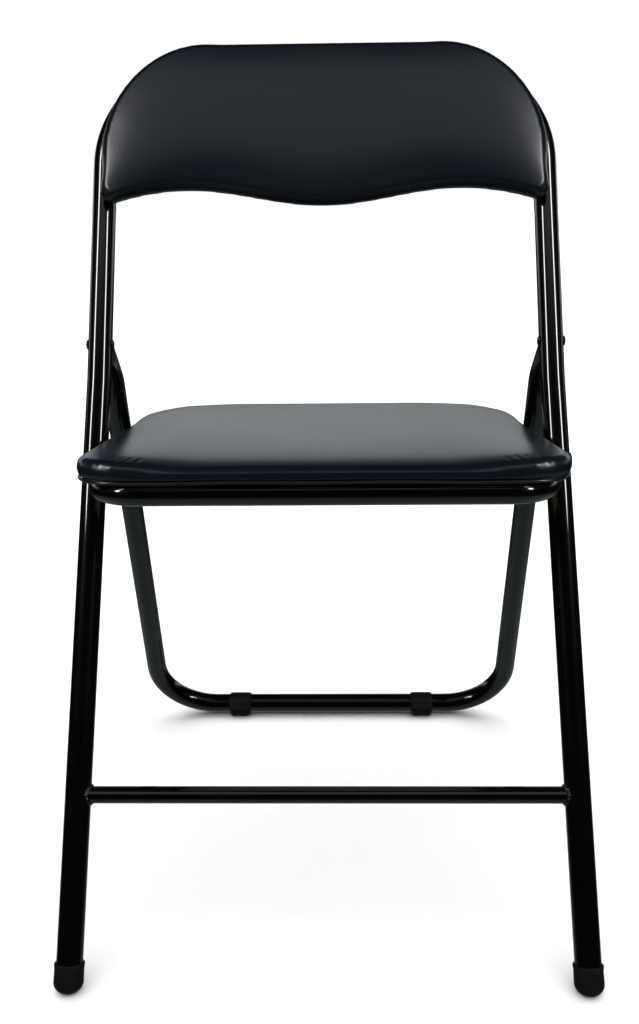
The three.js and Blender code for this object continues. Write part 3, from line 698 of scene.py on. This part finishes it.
def seat_loop(front, rear, front_x, rear_x, front_r, rear_r):
    """Stations round a trapezium with rounded corners, in the seat's plane."""
    corners = [Vector((x, y, 0)) for x, y in
               ((-front_x, front), (front_x, front), (rear_x, rear), (-rear_x, rear))]
    return bent_route(corners, [front_r, front_r, rear_r, rear_r], closed=True)


def seat_outline(inset=0.0):
    """The seat pad's outline, as a closed list of points in the seat's plane."""
    front, rear = SEAT_FRONT + inset, SEAT_REAR - inset
    front_x, rear_x = pad_half_width(SEAT_FRONT) - inset, pad_half_width(SEAT_REAR) - inset
    front_r = PAD_FRONT_CORNER_R - min(inset, PAD_CORNER_INSET)
    rear_r = PAD_REAR_CORNER_R - REAR_FULLNESS - inset
    route = [point for point, _ in seat_loop(front, rear, front_x, rear_x, front_r, rear_r)]
    side_steps, side_length, full_slack_x = 30, 0.1, 0.12
    points = []
    for point, ahead in zip(route, route[1:] + route[:1]):
        steps = side_steps if abs(ahead.y - point.y) > side_length else 1
        points += [point.lerp(ahead, i / steps) for i in range(steps)]
    for point in points:
        half = abs(point.x) + side_slack(point.y) * min(1, abs(point.x) / full_slack_x)
        point.x = copysign(min(half, link_room(point.y) - inset), point.x)
    return points


def back_lower_edge(x):
    """The backrest's wavy lower edge, as a height up the legs."""
    beyond = (abs(x) - BACK_WAVE["x"]) / (BACK_HALF_WIDTH - BACK_WAVE["x"])
    if beyond > 0:
        return BACK_WAVE["up"] - BACK_WAVE["rise"] * beyond ** 2
    return BACK_WAVE["up"] - BACK_WAVE["dip"] / 2 * (1 + cos(pi * x / BACK_WAVE["x"]))


def back_upper_edge(x):
    beyond = max(0.0, abs(x) - BACK_SHOULDER["x"]) / (BACK_HALF_WIDTH - BACK_SHOULDER["x"])
    height = BACK_TOP_UP - BACK_SHOULDER["up"]
    return BACK_SHOULDER["up"] + height * sqrt(max(0.0, 1 - beyond ** 2))


def back_outline(inset=0.0):
    """The backrest's outline: wavy below, straight at the sides, wide elliptical shoulders."""
    half = BACK_HALF_WIDTH - inset
    corner_x = half - BACK_CORNER_R
    corner_up = back_lower_edge(corner_x) + inset
    steps = 64
    points = []
    for i in range(steps + 1):
        x = lerp(-corner_x, corner_x, i / steps)
        points.append(Vector((x, back_lower_edge(x) + inset, 0)))
    corner = [Vector((corner_x + BACK_CORNER_R * sin(turn),
                      corner_up + BACK_CORNER_R * (1 - cos(turn)), 0))
              for turn in quarter(8)[1:]]
    rise = BACK_TOP_UP - inset - BACK_SHOULDER["up"]
    width = half - BACK_SHOULDER["x"]
    shoulder = [Vector((BACK_SHOULDER["x"] + width * cos(turn),
                        BACK_SHOULDER["up"] + rise * sin(turn), 0))
                for turn in quarter(32)]
    return points + mirrored(corner + shoulder)


def padded_slab(outline, bottom, top, edge_r, steps=6):
    """A slab with a rounded upper edge and a rounded fold along its lower one."""
    rings = [(PAD_FOLD_R * (1 - sin(turn)), bottom + PAD_FOLD_R * (1 - cos(turn)))
             for turn in quarter(steps)]
    rings += [(edge_r * (1 - cos(turn)), top - edge_r * (1 - sin(turn)))
              for turn in quarter(steps)]
    return skin([raised(outline(inset), height) for inset, height in rings])


def raised(points, height):
    return [point + Vector((0, 0, height)) for point in points]


def flatten(made, height, within):
    """Puts every point near a height exactly on it."""
    points = coordinates(made)
    near = np.abs(points[:, 2] - height) < within
    points[near, 2] = height
    set_coordinates(made, points)


def coordinates(made):
    flat = np.empty(len(made.data.vertices) * 3)
    made.data.vertices.foreach_get("co", flat)
    return flat.reshape(-1, 3)


def set_coordinates(made, points):
    made.data.vertices.foreach_set("co", points.ravel())
    made.data.update()


def inflate(made, bottom, cap, pressure=4.0, frames=20):
    """Swells a pad by cloth simulation. Its underside is held, and no point moves further than cap."""
    before = coordinates(made)
    held = made.vertex_groups.new(name="held")
    held_height = 0.0015
    low = [int(i) for i in np.nonzero(before[:, 2] < bottom + held_height)[0]]
    held.add(low, 1.0, "REPLACE")
    cloth = made.modifiers.new("cloth", "CLOTH")
    settings = cloth.settings
    settings.quality = 5
    settings.use_pressure = True
    settings.uniform_pressure_force = pressure
    settings.effector_weights.gravity = 0
    settings.vertex_group_mass = "held"
    settings.bending_stiffness = 2.0
    cloth.point_cache.frame_start, cloth.point_cache.frame_end = 1, frames
    scene = bpy.context.scene
    for number in range(1, frames + 1):
        scene.frame_set(number)
    apply_modifiers(made)
    scene.frame_set(1)
    moved = coordinates(made) - before
    length = np.linalg.norm(moved, axis=1, keepdims=True)
    share = cap * np.tanh(length / cap) / np.maximum(length, 1e-9)
    set_coordinates(made, before + moved * share)
    made.vertex_groups.clear()


def evened(made, field, repeat):
    """A per-vertex field averaged with its neighbours, again and again."""
    edges = np.array([edge.vertices[:] for edge in made.data.edges])
    weight = np.bincount(edges.ravel(), minlength=len(field))[:, None]
    for _ in range(repeat):
        total = np.zeros_like(field)
        np.add.at(total, edges[:, 0], field[edges[:, 1]])
        np.add.at(total, edges[:, 1], field[edges[:, 0]])
        field = (field + total / weight) / 2
    return field


def hold_underside(made, drawn, bottom):
    """Puts a pad's underside and fold back where they were drawn."""
    moved = coordinates(made) - drawn
    start, fade = 0.0005, 0.005
    share = np.clip((drawn[:, 2:] - bottom - start) / fade, 0, 1)
    set_coordinates(made, drawn + moved * share)


def press_in(made, room):
    """Keeps a pad's sides within the half-width room(y)."""
    points = coordinates(made)
    for point in points:
        point[0] = copysign(min(abs(point[0]), room(point[1])), point[0])
    set_coordinates(made, points)


def crown(made, rise, middle):
    """Lifts the upper face of a pad by rise(x, y), fading out down its sides."""
    points = coordinates(made)
    fade = 0.004
    for point in points:
        point[2] += rise(point[0], point[1]) * smoothstep((point[2] - middle) / fade)
    set_coordinates(made, points)


def crease(made, lines):
    """Presses shallow creases into the upper face, from (start, end, width, depth)."""
    points = coordinates(made)
    for start, end, width, depth in lines:
        a, b = np.array(start), np.array(end)
        along = b - a
        share = np.clip(((points[:, :2] - a) @ along) / (along @ along), 0, 1)
        near = a + share[:, None] * along
        distance = np.linalg.norm(points[:, :2] - near, axis=1)
        fade = np.sin(np.pi * np.clip(share, 0.02, 0.98)) * np.exp(-((distance / width) ** 2))
        points[:, 2] -= depth * fade
    set_coordinates(made, points)


def belly(made, outline, bottom, top):
    """Lets a pad's sides bulge a little at mid-height."""
    points = coordinates(made)
    rim = np.array([(p.x, p.y) for p in outline(0.0)])
    centre = rim.mean(0)
    for point in points:
        share = (point[2] - bottom) / (top - bottom)
        if 0 < share < 1:
            nearest = np.linalg.norm(rim - point[:2], axis=1).min()
            out = (point[:2] - centre) / np.linalg.norm(point[:2] - centre)
            near_rim = exp(-((nearest / PAD_BELLY["reach"]) ** 2))
            point[:2] += out * PAD_BELLY["depth"] * sin(pi * share) * near_rim
    set_coordinates(made, points)


def seat_rise(x, y):
    """The seat pad's crown: nearly flat, and falling away at the front between its corners."""
    half_length = (SEAT_REAR - SEAT_FRONT) / 2
    v = (y - (SEAT_REAR + SEAT_FRONT) / 2) / half_length
    u = x / pad_half_width(y)
    across = max(0.0, 1 - abs(u) ** SEAT_CROWN["squareness"])
    along = max(0.0, 1 - abs(v) ** SEAT_CROWN["squareness"])
    start, power = FRONT_FALL["start"], FRONT_FALL["power"]
    corner = smoothstep((abs(u) - FRONT_FALL["corner"]) / FRONT_FALL["blend"])
    forward = max(0.0, (start - v) / (start + 1)) ** power * (1 - corner)
    return SEAT_CROWN["height"] * across * along - FRONT_FALL["depth"] * forward


def back_rise(x, y):
    """The backrest pad's crown: full across, and round from its lower edge to its top."""
    low, high = back_lower_edge(x), back_upper_edge(x)
    v = (y - (low + high) / 2) / ((high - low) / 2 + 1e-6)
    across = max(0.0, 1 - abs(x / BACK_HALF_WIDTH) ** BACK_CROWN["squareness"])
    along = max(0.0, 1 - abs(v) ** BACK_CROWN["roundness"])
    return BACK_CROWN["height"] * across * along


def pad(name, body, node, place, outline, bottom, top, edge_r, rise, board_t, swell,
        creases=(), room=None):
    """A vinyl-covered pad with a recess for its board, swollen by simulation."""
    made = add_object(name, padded_slab(outline, bottom, top, edge_r))
    modify(made, "REMESH", mode="VOXEL", voxel_size=PAD_VOXEL)
    flatten(made, top, PAD_VOXEL / 3)
    drawn = coordinates(made)
    belly(made, outline, bottom, top)
    crown(made, rise, (bottom + top) / 2)
    modify(made, "SMOOTH", factor=0.5, iterations=2)
    shaped = coordinates(made)
    inflate(made, bottom, swell)
    set_coordinates(made, shaped + evened(made, coordinates(made) - shaped, repeat=40))
    hold_underside(made, drawn, bottom)
    if room:
        press_in(made, room)
    modify(made, "SUBSURF", levels=1, render_levels=1)
    crease(made, creases)
    rim, past = outline(BOARD_INSET - GAP), 0.005
    cut(made, skin([raised(rim, bottom - past), raised(rim, bottom + board_t + GAP)]))
    made.data.transform(place)
    place_piece(made, body, "vinyl", [node])


def turned_under(name, body, outline, bottom, place):
    """The cover's margin, turned under the board. Its cut edge wanders."""
    start, width, wander = 0.004, 0.026, 0.08
    outer, inner = outline(start), outline(width)
    wavy = [q.lerp(p, wander * (1 + sin(1.7 * i) * sin(0.6 * i)))
            for i, (p, q) in enumerate(zip(outer, inner))]
    low, high = bottom - 0.8 * GAP, bottom - 0.2 * GAP
    rings = [raised(outer, high), raised(outer, low), raised(wavy, low), raised(wavy, high)]
    add_piece(name, skin(rings, closed=True), place, body, "vinyl")


def hem(name, body, outline, height, radius, place):
    """The rolled hem of a vinyl cover, a thin bead that wanders a little."""
    step, tuck, sway = 0.006, 0.0012, 0.0003
    points = outline()
    dense = []
    for point, ahead in zip(points, points[1:] + points[:1]):
        steps = max(1, round((ahead - point).length / step))
        dense += [point.lerp(ahead, k / steps) for k in range(steps)]
    rings = []
    for i, point in enumerate(dense):
        ahead, behind = dense[(i + 1) % len(dense)], dense[i - 1]
        along = (ahead - behind).normalized()
        out = along.cross(Vector((0, 0, 1)))
        wander = sway * (sin(0.31 * i) + 0.6 * sin(0.117 * i + 1.3))
        centre = point - out * tuck + Vector((0, 0, height + wander))
        rings.append([centre + (out * cos(a) + Vector((0, 0, 1)) * sin(a)) * radius
                      for a in angles(12)])
    add_piece(name, skin(rings, closed=True), place, body, "vinyl")


# -------- seat

def seat_tube():
    """The closed hoop under the seat."""
    front, rear = SEAT_FRONT + SEAT_TUBE_INSET, SEAT_REAR - SEAT_TUBE_INSET
    front_x = pad_half_width(front) - SEAT_TUBE_INSET
    rear_x = pad_half_width(rear) - SEAT_TUBE_INSET
    rear_r = PAD_REAR_CORNER_R - SEAT_TUBE_INSET
    stations = seat_loop(front, rear, front_x, rear_x, SEAT_TUBE_FRONT_R, rear_r)
    bm = skin([section(s, Vector((0, 0, 1)), SEAT_TUBE_R) for s in stations], closed=True)
    add_piece("seat_frame_enamelled", bm, SEAT, "seat", "enamel", ["seat_frame_tube"])


def corner_creases():
    """Where the cover is gathered over the seat's front corners."""
    first_x, front, rear = PAD_FRONT_HALF_WIDTH - 0.050, SEAT_FRONT + 0.002, SEAT_FRONT + 0.022
    spacing, slant, width, depth = 0.007, 0.004, 0.0012, 0.0006
    creases = []
    for side in SIDES.values():
        for i in range(4):
            x = side * (first_x + spacing * i)
            creases.append(((x, front), (x - side * slant, rear), width, depth))
    return creases


def seat():
    seat_tube()
    bottom = SEAT_TUBE_R + GAP
    pad("seat_cushion_padded", "seat", "seat_cushion", SEAT, seat_outline, bottom, PAD_TOP - GAP,
        PAD_EDGE_R, seat_rise, BOARD_T, swell=0.0014, creases=corner_creases(), room=link_room)
    turned_under("seat_cover_margin", "seat", seat_outline, bottom, SEAT)
    hem("seat_cushion_hem", "seat", seat_outline, bottom - 0.0001, 0.0013, SEAT)


def backrest():
    pad("backrest_cushion_padded", "front_frame", "backrest_cushion", BACK, back_outline, 0,
        BACK_SLAB_T, BACK_EDGE_R, back_rise, BACK_BOARD_T, swell=0.0008)


# -------- fasteners

def dome(radius, face, height, steps=8):
    """Profile of a domed head from its rim to its top, height above a face."""
    return [(radius * cos(t) if i < steps else 0, face + height * sin(t))
            for i, t in enumerate(quarter(steps))]


def on_x(node, body, slot, profile):
    """A turned piece on the X axis in place of a CAD node. Its profile gives (radius, |x|) pairs."""
    low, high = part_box(node)
    side = 1 if low.x + high.x > 0 else -1
    middle = Matrix.Translation((0, (low.y + high.y) / 2, (low.z + high.z) / 2))
    bm = turned(profile, along_x(side, middle), segments=40, closed=profile[0][0] > 0)
    place_piece(add_object(f"{node}_turned", bm), body, slot, [node])


def reach(node):
    """Inner and outer |x| of a CAD node."""
    low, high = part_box(node)
    return min(abs(low.x), abs(high.x)), max(abs(low.x), abs(high.x))


def sleeve(node, body, slot, bore, radius, chamfer=0.0004):
    inner, outer = reach(node)
    on_x(node, body, slot, [
        (bore, inner), (radius - chamfer, inner), (radius, inner + chamfer),
        (radius, outer - chamfer), (radius - chamfer, outer), (bore, outer),
    ])


def headed_pin(node, body, slot, head, shank, end, end_face):
    """A pin with a domed head inside and another end, a dome of radius end on end_face."""
    inner, outer = reach(node)
    face = inner + head["height"]
    head_dome = reversed(dome(head["radius"], face, head["height"]))
    profile = [(radius, 2 * face - x) for radius, x in head_dome]
    profile += [(shank, face), (shank, end_face)]
    on_x(node, body, slot, profile + dome(end, end_face, outer - end_face))


def pivots(label):
    """The rivets, bolts, pins, sleeves and washers of one side."""
    rivet = {"radius": 0.0046, "height": 0.0015}
    nut = {"radius": 0.006, "height": 0.0026}

    def pin(name, body, slot, head, shank, end_radius, end_height):
        node = f"{name}_{label}"
        headed_pin(node, body, slot, head, shank, end_radius, reach(node)[1] - end_height)

    pin("upper_pivot_rivet", "front_frame", "enamel", rivet, PIN_R, rivet["radius"], rivet["height"])
    pin("seat_pivot_bolt", "front_frame", "zinc", nut, BOLT_R, 0.007, 0.001)
    sleeve(f"seat_pivot_spacer_{label}", "front_frame", "zinc", BOLT_R + GAP, radius=0.007)
    sleeve(f"link_washer_{label}", "rear_frame", "zinc", PIN_R + GAP, radius=0.0065)
    pin("link_pin", "rear_frame", "zinc", {"radius": 0.005, "height": 0.0012}, PIN_R, PIN_R, 0.0006)
    pin("seat_ear_pin", "seat", "zinc", {"radius": 0.005, "height": 0.002}, PIN_R, 0.0045, 0.0005)
    node = f"link_upper_rivet_{label}"
    inner, outer = reach(node)
    on_x(node, f"link_{label}", "enamel", [(0, inner)] + dome(rivet["radius"], inner, outer - inner))


def screw(node, body, place, shank):
    """A pan-head screw with a cross recess, its head pointing along place's Z from the origin."""
    head_r, head_h, rim, point = 0.004, 0.0022, 0.0006, 0.001
    profile = [(0, -shank), (SCREW_R, point - shank), (SCREW_R, 0), (head_r, 0)]
    profile += dome(head_r, rim, head_h - rim)
    made = add_object(f"{node}_pan_head", turned(profile, Matrix.Identity(4), segments=32))
    arm, across, deep = 0.0042, 0.0009, 0.002
    cut(made, *[block(size, (0, 0, head_h)) for size in ((arm, across, deep), (across, arm, deep))])
    made.data.transform(place)
    place_piece(made, body, "zinc", [node])


def screws():
    """Four under the seat's tube and four in the backrest's board."""
    down, back = Matrix.Rotation(pi, 4, "X"), Matrix.Rotation(-pi / 2, 4, "X")
    for i in range(1, 5):
        node = f"seat_screw_{i}"
        middle = SEAT.inverted() @ (sum(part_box(node), Vector()) / 2)
        face = Matrix.Translation((middle.x, middle.y, -SEAT_TUBE_R - GAP))
        screw(node, "seat", SEAT @ face @ down, SCREW_SHANK["seat"])
        node = f"backrest_screw_{i}"
        middle = FRONT.inverted() @ (sum(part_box(node), Vector()) / 2)
        through = "hoop" if middle.z > TAB_UP + 0.05 else "tab"
        head = {"hoop": LEG_R, "tab": BACK_FACE + GAP + TAB_T}[through]
        face = Matrix.Translation((middle.x, head + GAP, middle.z))
        screw(node, "front_frame", FRONT @ face @ back, SCREW_SHANK[through])


def plate(outline, inner, outer):
    """A sheet piece between two |x|, its outline (y, z) points, with eased edges."""
    bevel = 0.0005
    points = [Vector(p) for p in outline]
    count = len(points)
    inward = []
    for i, point in enumerate(points):
        before = (point - points[i - 1]).normalized()
        after = (points[(i + 1) % count] - point).normalized()
        inward.append(Vector((-(before + after).y, (before + after).x)).normalized() * bevel)
    rings = []
    for x, inset in ((inner, 1), (inner + bevel, 0), (outer - bevel, 0), (outer, 1)):
        rings.append([Vector((x, *(p + n * inset))) for p, n in zip(points, inward)])
    return skin(rings)


def bored_plate(name, outline, inner, outer, side, hole, place, body, node):
    """A plate with one hole for its pin, on the left or right side."""
    made = add_object(name, plate(outline, inner, outer))
    middle = Matrix.Translation((0, hole[0], hole[1]))
    start, end, radius = inner - 0.002, outer + 0.002, PIN_R + GAP
    drill = [(0, start), (radius, start), (radius, end), (0, end)]
    cut(made, turned(drill, along_x(1, middle)))
    made.data.transform(place @ Matrix.Diagonal((side, 1, 1, 1)))
    if side < 0:
        made.data.flip_normals()
    place_piece(made, body, "enamel", [node])


def linkage(label, side):
    """The seat's ear and the link that joins it to the rear leg."""
    inner, outer = reach(f"seat_ear_{label}")
    hole, root_half, root_up = (EAR["back"], -EAR["drop"]), 0.015, 0.006
    ear = [(EAR["back"] + root_half, root_up), (EAR["back"] - root_half, root_up)]
    ear += arc(hole, EAR["radius"], 180, 360)
    bored_plate(f"seat_ear_pressed_{label}", ear, inner, outer, side, hole, SEAT, "seat",
                f"seat_ear_{label}")

    inner, outer = reach(f"seat_link_{label}")
    upper = SEAT @ Vector((0, *hole))
    span = upper - link_hole
    length, turn = hypot(span.y, span.z), atan2(span.z, span.y)
    link = arc((0, 0), LINK_HALF_W, 90, 270) + arc((length, 0), LINK_HALF_W, -90, 90)
    place = Matrix.Translation((0, link_hole.y, link_hole.z)) @ Matrix.Rotation(turn, 4, "X")
    bored_plate(f"seat_link_pressed_{label}", link, inner, outer, side, (0, 0), place,
                f"link_{label}", f"seat_link_{label}")


# -------- studio

BACKDROP, WINDOW, GROUND, AMBIENT = 1.36, 0.64, 0.28, 0.01  # brightness in reflections


def studio_world():
    """What reflections see: a bright backdrop, a high window in front, a grey-green floor."""
    world = bpy.data.worlds.new("studio")
    bpy.context.scene.world = world
    world.use_nodes = True
    tree = world.node_tree
    tree.nodes.clear()

    node = partial(add_node, tree)

    def feed(value, socket):
        """Links another node's output to a socket, or sets the socket to a number."""
        if isinstance(value, float):
            socket.default_value = value
        else:
            tree.links.new(value, socket)

    def rise(source, low, high):
        """Climbs smoothly from 0 where the source is low to 1 where it is high."""
        made = node("ShaderNodeMapRange", interpolation_type="SMOOTHSTEP")
        made.inputs["From Min"].default_value, made.inputs["From Max"].default_value = low, high
        tree.links.new(source, made.inputs["Value"])
        return made.outputs["Result"]

    def combine(operation, value, *others):
        for other in others:
            made = node("ShaderNodeMath", operation=operation)
            feed(value, made.inputs[0])
            feed(other, made.inputs[1])
            value = made.outputs["Value"]
        return value

    product, total = partial(combine, "MULTIPLY"), partial(combine, "ADD")

    def background(colour, strength):
        made = node("ShaderNodeBackground")
        made.inputs["Color"].default_value = (*colour, 1)
        feed(strength, made.inputs["Strength"])
        return made.outputs["Background"]

    direction = node("ShaderNodeSeparateXYZ")
    tree.links.new(node("ShaderNodeTexCoord").outputs["Generated"], direction.inputs["Vector"])
    depth, height = direction.outputs["Y"], direction.outputs["Z"]
    behind, in_front = rise(depth, 0.1, 0.7), rise(depth, 0.0, -0.25)
    backdrop = product(behind, rise(height, 0.27, 0.09), rise(height, 0.0, 0.05))
    window = product(in_front, rise(height, 0.58, 0.74), rise(height, 0.97, 0.88))
    ground = rise(height, -0.35, -0.7)
    upper = total(product(backdrop, BACKDROP), product(window, WINDOW), AMBIENT)
    both = node("ShaderNodeAddShader")
    tree.links.new(background((0.93, 0.98, 0.99), upper), both.inputs[0])
    tree.links.new(background((0.82, 1.0, 0.9), product(ground, GROUND)), both.inputs[1])
    seen = background((1.0, 1.0, 1.0), 1.0)
    mix = node("ShaderNodeMixShader")
    tree.links.new(node("ShaderNodeLightPath").outputs["Is Camera Ray"], mix.inputs["Fac"])
    tree.links.new(both.outputs["Shader"], mix.inputs[1])
    tree.links.new(seen, mix.inputs[2])
    tree.links.new(mix.outputs["Shader"], node("ShaderNodeOutputWorld").inputs["Surface"])


def add_light(name, kind, **settings):
    light = configured(bpy.data.lights.new(name, kind), settings)
    made = bpy.data.objects.new(name, light)
    bpy.context.scene.collection.objects.link(made)
    return made


def softbox(place, target, width, height, power):
    """A tall light that shows only in reflections."""
    made = add_light("side_light", "AREA", shape="RECTANGLE", size=width, size_y=height, energy=power)
    made.location = place
    made.rotation_euler = (Vector(target) - Vector(place)).to_track_quat("-Z", "Y").to_euler()
    made.visible_camera = False
    made.visible_diffuse = False


def overhead_glow():
    """Even light from the whole ceiling. It whitens the floor and is kept out of reflections."""
    add_light("overhead", "SUN", energy=4.6, angle=radians(110)).visible_glossy = False


def studio_floor():
    look = Look("pale_floor", Roughness=0.9)
    colour = look.colours(look.noise(3), [(0.3, (0.90, 0.90, 0.90)), (0.7, (0.93, 0.93, 0.93))])
    look.finish(colour)
    bm = bmesh.new()
    bmesh.ops.create_grid(bm, x_segments=1, y_segments=1, size=20)
    floor = add_object("floor", bm)
    floor.data.materials.append(look.material)
    floor.visible_glossy = False


def camera():
    """Stands close in front of the chair, at its shoulder height, looking down at it."""
    data = bpy.data.cameras.new("camera")
    made = bpy.data.objects.new("camera", data)
    bpy.context.scene.collection.objects.link(made)
    pitch, yaw, roll = radians(13.9), radians(-1.22), radians(-0.68)
    level = Vector((sin(yaw), cos(yaw), 0))
    forward = level * cos(pitch) - Vector((0, 0, sin(pitch)))
    made.location = FRONT.translation + Vector((0.0124, -0.706, 0.6524))
    made.rotation_mode = "QUATERNION"
    made.rotation_quaternion = forward.to_track_quat("-Z", "Y") @ Quaternion((0, 0, 1), roll)
    data.sensor_width = 36
    data.lens = 35.93
    data.shift_x, data.shift_y = 0.0017, -0.0786
    bpy.context.scene.camera = made


def studio():
    studio_world()
    studio_floor()
    for side in SIDES.values():
        softbox((side * 1.75, -1.2, 1.75), target=(0, 0, 0.6), width=0.34, height=1.3, power=36)
    overhead_glow()
    bpy.context.scene.view_settings.view_transform = "Standard"


# -------- assembly

dress_cad_nodes()
front_frame()
crossbar()
rear_frame()
for label, side in SIDES.items():
    front_foot(label, side)
    rear_glide(label, side)
    pivots(label)
    linkage(label, side)
screws()
seat()
backrest()
camera()
studio()
